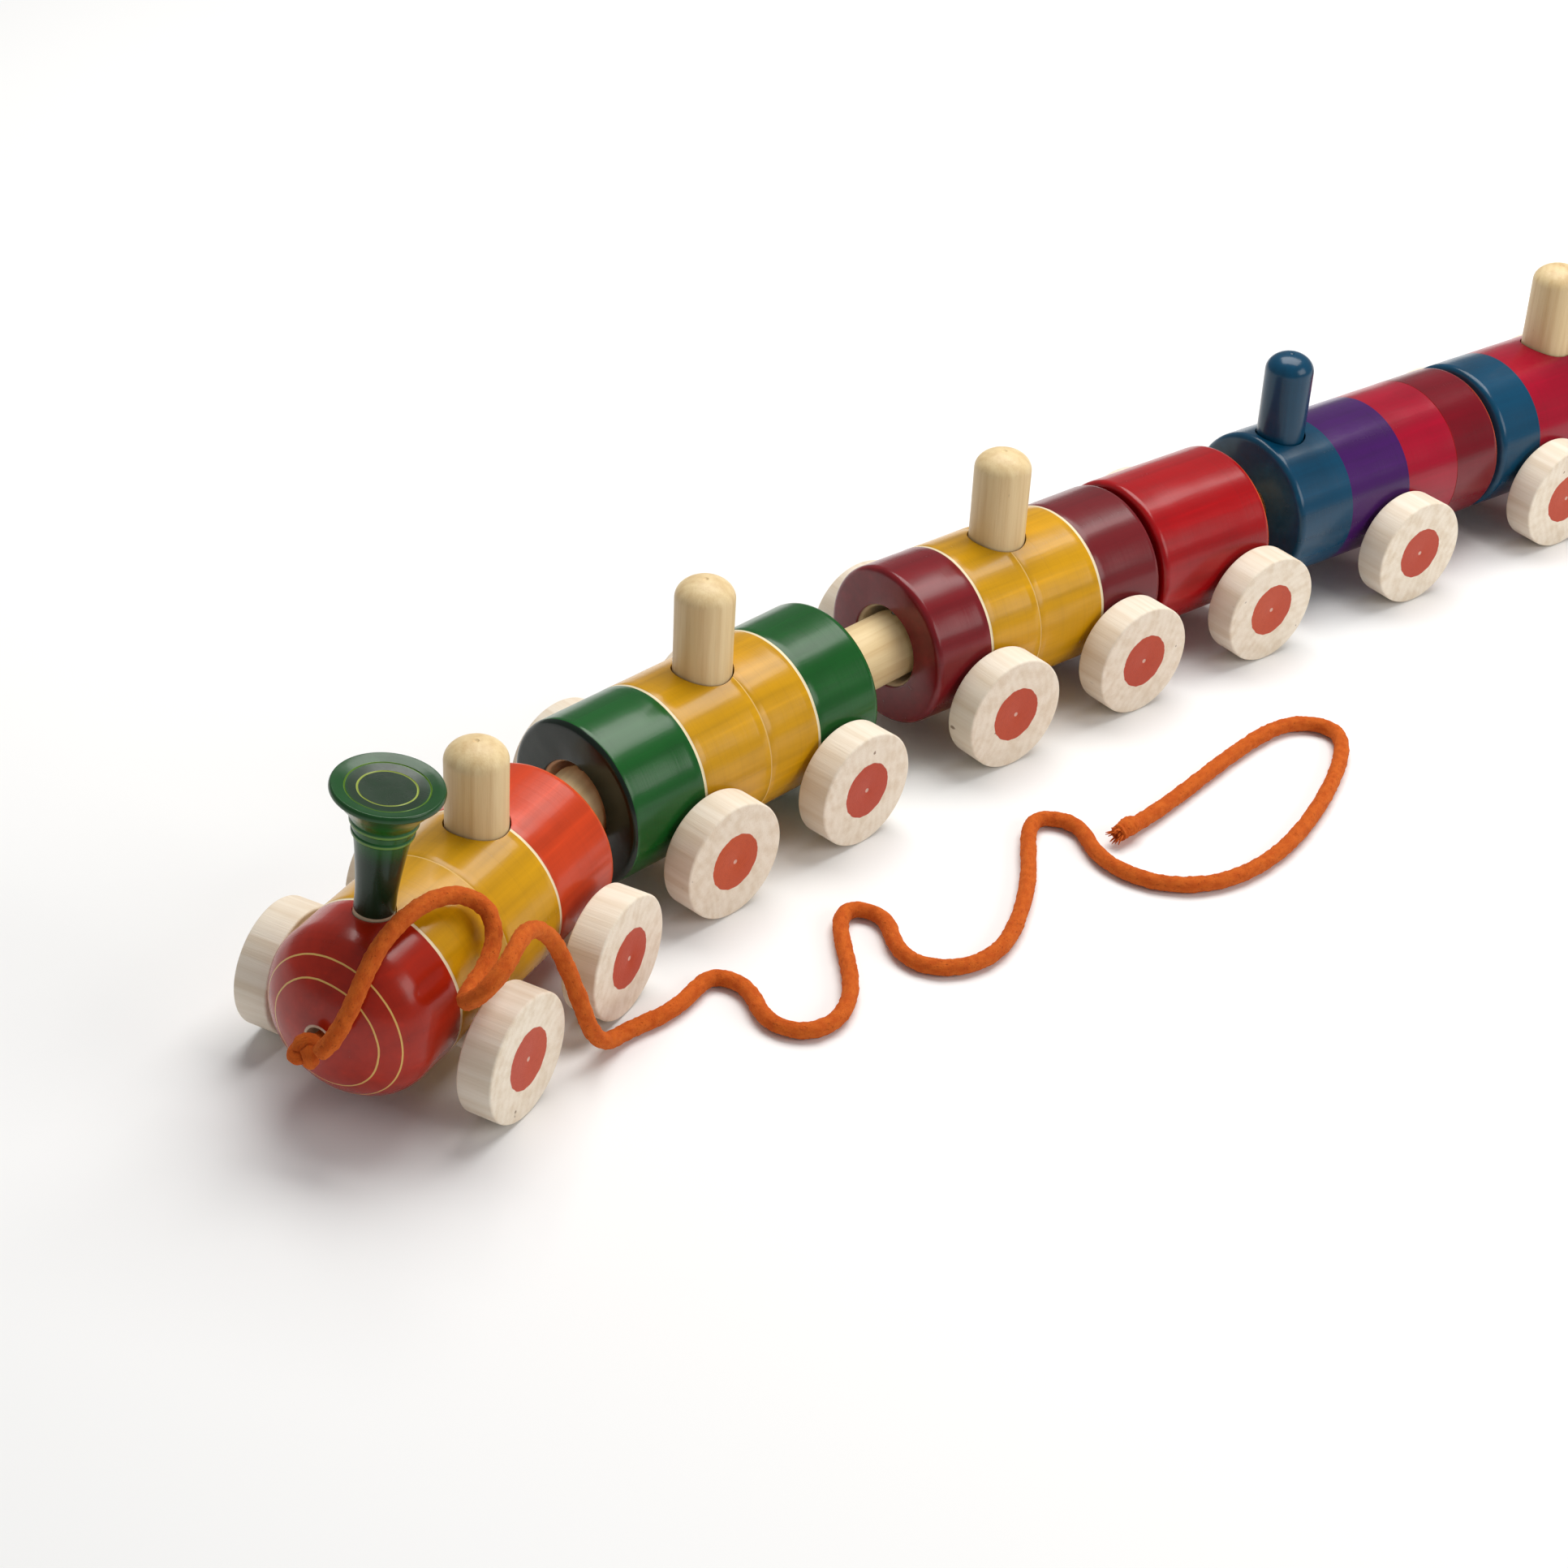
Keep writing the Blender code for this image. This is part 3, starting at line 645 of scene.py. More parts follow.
class WoodLook(bpy.types.PropertyGroup):
    """Unpainted wood of the wheels, pegs and dowels, and how they are turned."""

    pale: colour_property("Pale wood", shade(242, 230, 212), "Colour of the wood between fibres")
    figure: colour_property("Figure", shade(210, 186, 154), "Colour of the darker fibres")
    warm_pale: colour_property("Warm pale wood", shade(232, 208, 160), "Pegs and dowels")
    warm_figure: colour_property("Warm figure", shade(196, 158, 104), "Fibres of pegs and dowels")
    fleck: colour_property("Flecks", shade(112, 78, 48), "Colour of small knots and flecks")
    figure_strength: share_property("Figure strength", 0.62, "How clearly the fibres show")
    disc_radius: length_property("Disc radius", 0.0087, "Radius of a wheel's painted disc")
    wheel_edge: length_property("Wheel edge", 0.0007, "Rounding of a wheel's corners")
    out_of_round: share_property("Out of round", 0.010, "How far a wheel is from a true circle")
    peg_dimple: length_property("Peg dimple", 0.0009, "Radius of the lathe mark on a peg")
    peg_gap: length_property("Peg gap", 0.00035, "Shadow gap around a peg in its hole")


class LacquerLook(bpy.types.PropertyGroup):
    """Lacquer colours and gloss, and the turned shape of the bodies."""

    red: colour_property("Red", shade(172, 36, 12), "Engine's nose")
    ember: colour_property("Orange red", shade(204, 64, 24), "Engine's rear band")
    # Painted highlight: the lit orange edge along the rear rims of the engine, tender and coach.
    rim: colour_property("Rim", shade(226, 92, 38), "Worn rear rims")
    yellow: colour_property("Yellow", shade(208, 152, 10), "Middle bands")
    green: colour_property("Green", shade(16, 86, 28), "Green wagon and funnel")
    # Painted shade: the dark green painted on the green wagon's front face.
    painted_shade_green: colour_property("Dark green", shade(12, 30, 18), "Wagon's front, funnel's stem")
    deep_green: colour_property("Deep green", shade(16, 46, 26), "Funnel's stem")
    moss: colour_property("Moss green", shade(34, 56, 36), "Middle of the funnel's top")
    lime: colour_property("Lime", shade(176, 190, 96), "Bright ring on the funnel's top")
    leaf: colour_property("Leaf green", shade(120, 158, 60), "Thin rings on the funnel")
    maroon: colour_property("Maroon", shade(122, 20, 28), "Maroon wagon's front band")
    dull_maroon: colour_property("Dull maroon", shade(112, 26, 32), "Maroon wagon's rear band")
    # Painted shadow: the dark line of the gap at the maroon wagon's rear rim.
    painted_gap_shadow_maroon: colour_property("Dark maroon", shade(52, 14, 20), "Maroon wagon's rear rim")
    cherry: colour_property("Cherry red", shade(164, 6, 14), "Tender")
    blue: colour_property("Blue", shade(4, 66, 96), "Coach fronts and chimney")
    purple: colour_property("Purple", shade(66, 18, 92), "Coach's second band")
    crimson: colour_property("Crimson", shade(160, 2, 38), "Coach's third band")
    wine: colour_property("Wine red", shade(116, 2, 22), "Coach's rear band")
    cream: colour_property("Cream", shade(240, 226, 190), "Lines between the bands")
    straw: colour_property("Straw", shade(228, 186, 104), "Thin lines and rings")
    disc_orange: colour_property("Disc orange", shade(198, 74, 16), "Discs of some wheels")
    disc_red: colour_property("Disc red", shade(182, 54, 18), "Discs of other wheels")
    disc_dark: colour_property("Disc wear", shade(158, 48, 20), "Darker rubbed paint")
    roughness: share_property("Roughness", 0.22, "Roughness under the coat")
    specular: share_property("Specular", 0.30, "Strength of the lacquer's own reflection")
    coat: share_property("Coat", 0.11, "Strength of the clear gloss")
    coat_roughness: share_property("Coat roughness", 0.10, "Roughness of the clear gloss")
    streaks: share_property("Streaks", 1.0, "How clearly the wood's streaks show")
    line_waver: share_property("Line waver", 0.35, "How far a line strays, in millimetres")
    groove_depth: length_property("Groove depth", 0.00010, "Depth of the turned lines")
    groove_width: length_property("Groove width", 0.0010, "Width of the turned lines")
    edge_round: length_property("Edge rounding", 0.0020, "Rounding of a body's ends")
    mouth_play: length_property("Front hole play", 0.0020, "Room around a dowel in a front hole")
    mouth_depth: length_property("Front hole depth", 0.0130, "Depth of a front hole")
    socket_depth: length_property("Rear socket depth", 0.0110, "Depth of a dowel's socket")
    nose_depth: length_property("Nose depth", 0.0164, "Length of the engine's dome")
    nose_hole: length_property("Nose hole", 0.0036, "Radius of the cord's hole in the nose")
    nose_hole_depth: length_property("Nose hole depth", 0.0130, "Depth of the cord's hole")


class CordLook(bpy.types.PropertyGroup):
    """The cotton pull cord."""

    bright: colour_property("Orange", shade(214, 104, 36), "Colour of the cord in the light")
    deep: colour_property("Deep orange", shade(196, 84, 26), "Darker clumps")
    pit: colour_property("Pits", shade(156, 60, 20), "Shadow between the fibres")
    fuzz: colour_property("Fuzz", shade(226, 136, 70), "Loose fibres on the surface")
    diameter: length_property("Diameter", 0.0048, "Thickness of the cord")
    lumps: length_property("Lumps", 0.00028, "How uneven the cord's surface is")


class StageLook(bpy.types.PropertyGroup):
    """Floor, light and camera."""

    floor: colour_property("Floor", (0.92, 0.92, 0.92), "Colour of the studio floor")
    world: share_property("Sky", 0.28, "Strength of the even light from all sides")
    key_power: bpy.props.FloatProperty(name="Key light", description="Power of the main light",
                                       unit="POWER", min=0.0, default=21.0)
    side_power: bpy.props.FloatProperty(name="Side light", description="Power of the side light",
                                        unit="POWER", min=0.0, default=7.0)
    lens: bpy.props.FloatProperty(name="Lens", description="Focal length on a 36 mm sensor",
                                  unit="CAMERA", min=10.0, default=72.37)
    camera_place: bpy.props.FloatVectorProperty(name="Camera place", subtype="TRANSLATION",
                                                description="Where the camera stands", size=3,
                                                default=(-0.6710, -0.5059, 0.5217))
    look_heading: bpy.props.FloatProperty(name="Heading", description="Which way it looks",
                                          subtype="ANGLE", default=math.radians(45.2))
    look_down: bpy.props.FloatProperty(name="Tilt", description="How far it looks down",
                                       subtype="ANGLE", default=math.radians(32.28))
    roll: bpy.props.FloatProperty(name="Roll", description="How far it is turned",
                                  subtype="ANGLE", default=0.03)
    shift: bpy.props.FloatVectorProperty(name="Shift", description="Sideways and upward shift",
                                         size=2, default=(0.0803, -0.0495))


# ---------------------------------------------------------------- stage
def make_light(name, place, target, width, height, power, colour=(1.0, 1.0, 1.0)):
    light = bpy.data.lights.new(name, "AREA")
    light.shape = "RECTANGLE"
    light.size = width
    light.size_y = height
    light.energy = power
    light.color = colour
    made = bpy.data.objects.new(name, light)
    made.location = place
    made.rotation_euler = (Vector(target) - Vector(place)).to_track_quat("-Z", "Y").to_euler()
    bpy.context.scene.collection.objects.link(made)


class TRAIN_OT_stage(bpy.types.Operator):
    """Make the floor, the soft studio light and the camera"""

    bl_idname = "train.stage"
    bl_label = "Make the stage"

    def execute(self, context):
        look = context.scene.train_stage
        scene = context.scene
        camera = bpy.data.cameras.new("camera")
        camera.lens = look.lens
        camera.sensor_width = 36.0
        camera.shift_x, camera.shift_y = look.shift
        camera.clip_start = 0.01
        holder = bpy.data.objects.new("camera", camera)
        scene.collection.objects.link(holder)
        down = look.look_down
        ahead = Vector((math.cos(down) * math.cos(look.look_heading),
                        math.cos(down) * math.sin(look.look_heading), -math.sin(down)))
        level = ahead.to_track_quat("-Z", "Y").to_matrix().to_4x4()
        holder.matrix_world = (Matrix.Translation(look.camera_place) @ level
                               @ Matrix.Rotation(look.roll, 4, "Z"))
        scene.camera = holder

        floor = bmesh.new()
        bmesh.ops.create_grid(floor, x_segments=8, y_segments=8, size=6.0)
        ground = new_object("studio_floor", floor)
        ground.data.materials.append(make_floor(look))

        world = bpy.data.worlds.new("studio")
        world.use_nodes = True
        sky = world.node_tree.nodes["Background"]
        sky.inputs["Color"].default_value = (0.96, 0.98, 1.0, 1.0)
        sky.inputs["Strength"].default_value = look.world
        scene.world = world
        scene.view_settings.view_transform = "Standard"
        low, high = CAD_BOX
        middle = (Vector(low) + Vector(high)) / 2
        make_light("key", middle + Vector((0.42, 0.22, 1.25)), middle, 1.3, 0.9,
                   look.key_power, (1.0, 0.985, 0.96))
        make_light("side", middle + Vector((0.40, -1.25, 0.70)), middle, 0.9, 0.7,
                   look.side_power, (1.0, 0.98, 0.95))
        return {"FINISHED"}


# ---------------------------------------------------------------- the cord and its knots
def smooth_route(route, count):
    """Evenly spaced points on the smooth B-spline that a route's points pull into shape."""
    path = [Vector(point) for point in route]
    pulls = [2 * path[0] - path[1]] + path + [2 * path[-1] - path[-2]]
    fine = []
    for index in range(1, len(pulls) - 2):
        before, here, there, after = pulls[index - 1:index + 3]
        for step in range(40):
            t = step / 40
            back = 1 - t
            fine.append((back ** 3 * before + (3 * t ** 3 - 6 * t ** 2 + 4) * here
                         + (3 * back ** 3 - 6 * back ** 2 + 4) * there + t ** 3 * after) / 6)
    fine.append(path[-1])
    spots = np.array(fine)
    run = np.concatenate(([0.0], np.cumsum(np.linalg.norm(np.diff(spots, axis=0), axis=1))))
    even = np.linspace(0.0, run[-1], count)
    return [Vector([float(np.interp(s, run, spots[:, axis])) for axis in range(3)])
            for s in even]


def make_tube(name, points, radii, sides, closed=False):
    """A mesh tube along points, by a bevelled curve. Its vertices run ring by ring."""
    curve = bpy.data.curves.new(name, "CURVE")
    curve.dimensions = "3D"
    curve.bevel_depth = 1.0
    curve.bevel_mode = "ROUND"
    curve.bevel_resolution = sides // 2 - 2
    curve.twist_mode = "MINIMUM"
    spline = curve.splines.new("POLY")
    spline.points.add(len(points) - 1)
    spline.use_cyclic_u = closed
    for knot, point, radius in zip(spline.points, points, radii):
        knot.co = (*point, 1.0)
        knot.radius = radius
    holder = bpy.data.objects.new(name, curve)
    bpy.context.scene.collection.objects.link(holder)
    graph = bpy.context.evaluated_depsgraph_get()
    mesh = bpy.data.meshes.new_from_object(holder.evaluated_get(graph))
    bpy.data.objects.remove(holder)
    mesh.name = name
    return mesh


def matt(mesh, points, lumps, seed, strands):
    """Roughens a tube as matted cotton and writes its "thread" attribute: mm along the cord and
    two across it."""
    sides = len(mesh.vertices) // len(points)
    flat = np.empty(len(mesh.vertices) * 3)
    mesh.vertices.foreach_get("co", flat)
    spots = flat.reshape(len(points), sides, 3)
    thread = np.empty_like(spots)
    run = 0.0
    for ring, centre in enumerate(points):
        if ring:
            run += (centre - points[ring - 1]).length
        middle = np.array(centre)
        for side in range(sides):
            angle = 2 * math.pi * side / sides
            outward = spots[ring, side] - middle
            reach = float(np.linalg.norm(outward))
            if reach < 1e-7:
                thread[ring, side] = (run * MM, 0.0, 0.0)
                continue
            across = (math.cos(angle) * reach * MM, math.sin(angle) * reach * MM)
            thread[ring, side] = (run * MM, *across)
            spot = Vector((run * MM * 0.55 + seed, across[0] * 0.75, across[1] * 0.75))
            soft = noise.noise(spot)
            crisp = noise.noise(spot * 2.9)
            ply = math.sin(3 * angle + run * MM * 0.42) * strands
            grow = lumps * (0.9 * soft + 0.55 * crisp - 0.35) + ply
            spots[ring, side] = middle + outward * (1.0 + grow / reach)
    mesh.vertices.foreach_set("co", spots.ravel())
    layer = mesh.attributes.new("thread", "FLOAT_VECTOR", "POINT")
    layer.data.foreach_set("vector", thread.astype(np.float32).ravel())
    mesh.update()


def close_ends(mesh):
    shape = bmesh.new()
    shape.from_mesh(mesh)
    rim = [edge for edge in shape.edges if edge.is_boundary]
    if rim:
        bmesh.ops.holes_fill(shape, edges=rim, sides=0)
    bmesh.ops.remove_doubles(shape, verts=shape.verts, dist=1e-6)
    bmesh.ops.recalc_face_normals(shape, faces=shape.faces)
    for face in shape.faces:
        face.smooth = True
    shape.to_mesh(mesh)
    shape.free()


def soft_tube(name, points, radii, sides, lumps, seed, strands=0.0, closed=False):
    """A matted cotton tube along points, closed at its ends."""
    mesh = make_tube(name, points, radii, sides, closed)
    matt(mesh, points, lumps, seed, strands)
    close_ends(mesh)
    return mesh


def join(name, meshes):
    """One object of several meshes, each with the same attributes."""
    parts = []
    for mesh in meshes:
        part = bpy.data.objects.new(name, mesh)
        bpy.context.scene.collection.objects.link(part)
        parts.append(part)
    if len(parts) > 1:
        with bpy.context.temp_override(active_object=parts[0], object=parts[0],
                                       selected_objects=parts,
                                       selected_editable_objects=parts):
            bpy.ops.object.join()
    parts[0].name = name
    return parts[0]


def knot_line(radius, count=120):
    """The closed line of an overhand knot that fills a ball, a trefoil."""
    angles = [2 * math.pi * step / count for step in range(count)]
    return [Vector((math.sin(t) + 2 * math.sin(2 * t), math.cos(t) - 2 * math.cos(2 * t),
                    -1.5 * math.sin(3 * t))) * (radius / 3.0) for t in angles]


def make_nose_knot(engine, look, finish):
    """An overhand knot in front of the nose hole, with a short tail into the hole."""
    low, high = engine.size("nose_knot")
    tip = engine.front
    lump = (high.x - tip) / 2
    centre = engine.place @ Vector((tip + lump, 0.0, (low.z + high.z) / 2))
    thickness = look.diameter / 2 * 0.90
    turned = (engine.place.to_3x3() @ Matrix.Rotation(math.radians(62), 3, "Y")
              @ Matrix.Rotation(math.radians(20), 3, "Z"))
    points = [centre + turned @ point for point in knot_line((high.y - low.y) / 2 - thickness)]
    meshes = [soft_tube("nose_knot_loop", points, [thickness] * len(points), 18,
                        look.lumps * 1.4, 3.0, closed=True)]
    tail = [centre + (engine.place.to_3x3() @ Vector((-lump * 2.6 * share, 0.0, 0.0)))
            for share in (step / 14 for step in range(15))]
    radii = [look.diameter / 2 * (0.55 + 0.35 * math.sin(math.pi * (0.5 + step / 28)))
             for step in range(15)]
    meshes.append(soft_tube("nose_knot_tail", tail, radii, 16, look.lumps, 9.0))
    knot = join("cotton_nose_knot", meshes)
    declare(knot, finish, "engine", "nose_knot")
    return knot


def make_end_knot(look, finish):
    """The tied end: a thicker whipped lump, then a brush of loose strands."""
    low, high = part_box("end_knot")
    last, before = Vector(CORD_ROUTE[-1]), Vector(CORD_ROUTE[-2])
    along = (last - before).normalized()
    side = along.cross(Vector((0.0, 0.0, 1.0))).normalized()
    rise = side.cross(along)
    middle_height = (low.z + high.z) / 2
    girth = (high.z - low.z) / 2
    start = Vector((last.x, last.y, middle_height)) - along * 0.002
    count = 60
    lump = [start + along * (0.0085 * step / (count - 1)) for step in range(count)]
    radii = []
    for step in range(count):
        share = step / (count - 1)
        swell = math.sin(math.pi * min(share * 1.15, 1.0)) ** 0.6 if share < 0.87 else 0.52
        radii.append(look.diameter / 2 * 0.92 + (girth - look.diameter / 2 - 0.0004) * swell)
    meshes = [soft_tube("end_lump", lump, radii, 24, look.lumps * 1.5, 21.0, 0.00014)]
    dice = random.Random(5)
    for strand in range(22):
        angle = 2 * math.pi * strand / 22 + dice.uniform(-0.2, 0.2)
        spread = dice.uniform(0.3, 1.0)
        reach = dice.uniform(0.0030, 0.0052)
        out = side * math.cos(angle) + rise * math.sin(angle)
        root = lump[-1] - along * 0.0015 + out * look.diameter * 0.28 * spread
        path = []
        for step in range(10):
            share = step / 9
            path.append(root + along * reach * share
                        + out * (girth * 0.42 * spread * share ** 1.5)
                        + Vector((0.0, 0.0, -1.0)) * 0.0003 * share)
        widths = [0.00042 * (1.0 - 0.65 * (step / 9) ** 2) for step in range(10)]
        meshes.append(soft_tube("end_strand", path, widths, 8, look.lumps * 0.25,
                                40.0 + strand))
    knot = join("cotton_end_knot", meshes)
    for vert in knot.data.vertices:
        vert.co.z = min(max(vert.co.z, low.z), high.z)
    declare(knot, finish, "engine", "end_knot")
    return knot


class TRAIN_OT_cord(bpy.types.Operator):
    """Make the cotton pull cord with its nose knot and its frayed end"""

    bl_idname = "train.cord"
    bl_label = "Make the pull cord"

    def execute(self, context):
        look = context.scene.train_cord
        cotton = make_cotton(look)
        engine = Vehicle("engine")
        knot = make_nose_knot(engine, look, cotton)
        end = make_end_knot(look, cotton)
        points = smooth_route(CORD_ROUTE, CORD_RINGS)
        radii = []
        for index in range(len(points)):
            share = index / len(points)
            radii.append(look.diameter / 2 * (1.0 + 0.05 * noise.noise(Vector((share * 90, 0, 0)))))
        mesh = soft_tube("pull_cord", points, radii, 20, look.lumps, 0.0)
        cord = join("cotton_pull_cord", [mesh])
        for vert in cord.data.vertices:
            vert.co.z = max(vert.co.z, 0.00002)
        declare(cord, cotton, "engine", "pull_cord")
        return {"FINISHED"}


# ---------------------------------------------------------------- turned pieces
def hole_radius(vehicle):
    """The radius of the hole in a vehicle's front: the cord's, or the dowel's with its play."""
    look = bpy.context.scene.train_lacquer
    number = VEHICLES.index(vehicle.name)
    if number == 0:
        return look.nose_hole
    ahead = Vehicle(VEHICLES[number - 1])
    return ahead.reach(ahead.name + "_drawbar", ahead.axis_height) + look.mouth_play


def body_outline(vehicle, look):
    """The outline of a body, from the middle of its front hole to its rear."""
    front, rear, radius = vehicle.front, vehicle.rear, vehicle.radius
    hole = hole_radius(vehicle)
    if vehicle.name == "engine":
        start = math.asin(hole / radius)
        outline = [(0.0, front - look.nose_hole_depth), (hole, front - look.nose_hole_depth)]
        outline += outline_dome(radius, front, look.nose_depth, start, 30)
        shoulder = front - look.nose_depth
    else:
        outline = [(0.0, front - look.mouth_depth), (hole, front - look.mouth_depth),
                   (hole, front - 0.0015, 0.0004), (hole + 0.0010, front, 0.0003),
                   (radius, front, look.edge_round)]
        shoulder = front - look.edge_round
    for spot, width, _ in reversed(LINES[vehicle.name]):
        spot /= MM
        if spot > shoulder:
            continue
        half = look.groove_width / 2 * width
        outline += [(radius, spot + half), (radius - look.groove_depth, spot + half * 0.4),
                    (radius - look.groove_depth, spot - half * 0.4), (radius, spot - half)]
    outline.append((radius, rear, look.edge_round))
    if vehicle.name == "tail_coach":
        return outline + [(0.0, rear)]
    socket = vehicle.reach(vehicle.name + "_drawbar", vehicle.axis_height) + SNUG
    return outline + [(socket, rear, 0.0004), (socket, rear + look.socket_depth),
                      (0.0, rear + look.socket_depth)]


def even_barrel(outline, step=0.003, clear=0.0024, depth=0.00010):
    """Adds points along the long straight runs of a body, clear of their corners, and turns
    them a touch uneven."""
    filled = [outline[0]]
    for before, point in zip(outline, outline[1:]):
        run = math.dist(before[:2], point[:2])
        extra = int(run / step)
        if abs(before[0] - point[0]) < 1e-6 and before[0] > 0.02 and run > 3 * clear:
            direction = -1.0 if point[1] < before[1] else 1.0
            for index in range(extra):
                height = before[1] + direction * (clear + (run - 2 * clear) * index
                                                  / max(extra - 1, 1))
                dent = 0.5 + 0.5 * noise.noise(Vector((height * 160.0, before[1] * 50.0, 0.0)))
                filled.append((before[0] - depth * dent, height))
        filled.append(point)
    return filled


class TRAIN_OT_bodies(bpy.types.Operator):
    """Make the six turned and lacquered bodies with their holes"""

    bl_idname = "train.bodies"
    bl_label = "Make the bodies"

    def execute(self, context):
        look = context.scene.train_lacquer
        wood = context.scene.train_wood
        for number, name in enumerate(VEHICLES):
            vehicle = Vehicle(name)
            place = vehicle.along(vehicle.axis_height)
            shape = lathe(even_barrel(body_outline(vehicle, look)), 128)
            body = lay("turned_" + name + "_body", shape, place)
            cutter = bmesh.new()
            for end in ("front", "rear"):
                joint = f"{name}_{end}_wheels_roll"
                if joint in JOINTS:
                    spot = joint_spot(vehicle, joint)
                    low, high = vehicle.size(f"{name}_{end}_axle")
                    bore = (high.z - low.z) / 2 + AXLE_PLAY
                    rod(cutter, vehicle.place @ Matrix.Translation(spot)
                        @ Matrix.Rotation(math.pi / 2, 4, "X"), bore, 4 * vehicle.radius)
            for peg in (name + "_peg", name + "_chimney"):
                if peg in frame["nodes"]:
                    low, high = vehicle.size(peg)
                    spot = (low + high) / 2
                    length = 2 * vehicle.radius
                    rod(cutter, vehicle.upright(spot.x, low.z + length / 2),
                        (high.x - low.x) / 2 + wood.peg_gap, length, 64)
            if name == "engine":
                funnel = funnel_place(vehicle)
                rod(cutter, funnel, FUNNEL_STEM + SNUG, 2 * (FUNNEL_SEAT + SNUG), 64)
            pin = name + "_coupling_pin"
            if pin in frame["nodes"]:
                low, high = vehicle.size(pin)
                depth = high.z + SNUG
                rod(cutter, vehicle.upright((low.x + high.x) / 2, depth / 2), PIN_HOLE, depth, 24)
            carve(body, cutter)
            finish = make_body_lacquer(vehicle, look, wood)
            dress(body, place, finish, name, name + "_body", 100 + number)
        return {"FINISHED"}


class TRAIN_OT_wheels(bpy.types.Operator):
    """Make the twenty wheels and ten axles"""

    bl_idname = "train.wheels"
    bl_label = "Make the wheels and axles"

    def execute(self, context):
        wood = context.scene.train_wood
        wheel_finish = make_wheel_wood(wood, context.scene.train_lacquer)
        axle_finish = make_wood("axle_wood", wood, 0.6)
        seed = 200
        for name in VEHICLES:
            vehicle = Vehicle(name)
            for end in ("front", "rear"):
                joint = f"{name}_{end}_wheels_roll"
                if joint not in JOINTS:
                    continue
                body = f"{name}_{end}_wheels"
                hub = joint_spot(vehicle, joint)
                across = vehicle.place @ Matrix.Translation(hub)
                axle = f"{name}_{end}_axle"
                low, high = vehicle.size(axle)
                radius, reach = (high.z - low.z) / 2, high.y
                place = across @ Matrix.Rotation(-math.pi / 2, 4, "X")
                shape = lathe([(0.0, reach), (radius, reach, 0.0004),
                               (radius, -reach, 0.0004), (0.0, -reach)], 48)
                settle("turned_" + axle, shape, place, axle_finish, body, axle, seed)
                for side, sign in (("left", 1.0), ("right", -1.0)):
                    seed += 1
                    node = f"{name}_{end}_{side}_wheel"
                    low, high = vehicle.size(node)
                    face = high.y if sign > 0 else -low.y
                    width = high.y - low.y
                    outer = hub.z
                    place = (across @ Matrix.Translation((0.0, sign * face, 0.0))
                             @ Matrix.Rotation(-sign * math.pi / 2, 4, "X"))
                    edge = wood.wheel_edge
                    bore = radius + SNUG
                    outline = [(0.0, -0.00025), (0.0005, -0.0001), (0.0010, 0.0),
                               (outer * 0.5, 0.0), (outer, 0.0, edge),
                               (outer, -width * 0.34), (outer, -width * 0.66),
                               (outer, -width, edge), (bore, -width, 0.0003),
                               (bore, -width + 0.006), (0.0, -width + 0.006)]
                    shape = lathe(outline, 96, wood.out_of_round, seed)
                    settle("turned_" + node, shape, place, wheel_finish, body, node, seed)
        return {"FINISHED"}


PEG_DOME = 0.006


class TRAIN_OT_pegs(bpy.types.Operator):
    """Make the wooden pegs and the blue chimney"""

    bl_idname = "train.pegs"
    bl_label = "Make the pegs"

    def execute(self, context):
        wood = context.scene.train_wood
        look = context.scene.train_lacquer
        peg_finish = make_wood("peg_wood", wood, 0.42, True)
        chimney_finish = make_plain_lacquer("chimney_lacquer", look.blue, look)
        for number, name in enumerate(VEHICLES):
            vehicle = Vehicle(name)
            for node, finish in ((name + "_peg", peg_finish),
                                 (name + "_chimney", chimney_finish)):
                if node not in frame["nodes"]:
                    continue
                low, high = vehicle.size(node)
                radius = (high.y - low.y) / 2
                crown = outline_dome(radius, high.z, PEG_DOME, 0.0, 16)[2:]
                dimple = wood.peg_dimple
                outline = [(0.0, high.z - 0.0006), (dimple * 0.5, high.z - 0.0005),
                           (dimple, high.z - 0.0001)] + crown
                outline += [(radius * 0.99, (low.z + high.z) / 2),
                            (radius * 0.995, low.z, 0.0004), (0.0, low.z)]
                shape = lathe(outline, 80, 0.008, number)
                place = vehicle.upright((low.x + high.x) / 2)
                settle("turned_" + node, shape, place, finish, name, node, 300 + number)
        return {"FINISHED"}


FUNNEL_AHEAD = 0.0095
FUNNEL_LEAN_LEFT = math.radians(5.7)
FUNNEL_LEAN_BACK = math.radians(3.0)
FUNNEL_HEIGHT = 0.0378
FUNNEL_STEM = 0.0054
FUNNEL_RIM = 0.0146
FUNNEL_SEAT = 0.0016
FUNNEL_TENON = 0.0044
FUNNEL_TENON_DEPTH = 0.009


def funnel_place(engine):
    """The funnel's foot on the barrel, leaning to the left and back."""
    return (engine.upright(FUNNEL_AHEAD, engine.axis_height + engine.radius)
            @ Matrix.Rotation(-FUNNEL_LEAN_BACK, 4, "Y")
            @ Matrix.Rotation(-FUNNEL_LEAN_LEFT, 4, "X"))


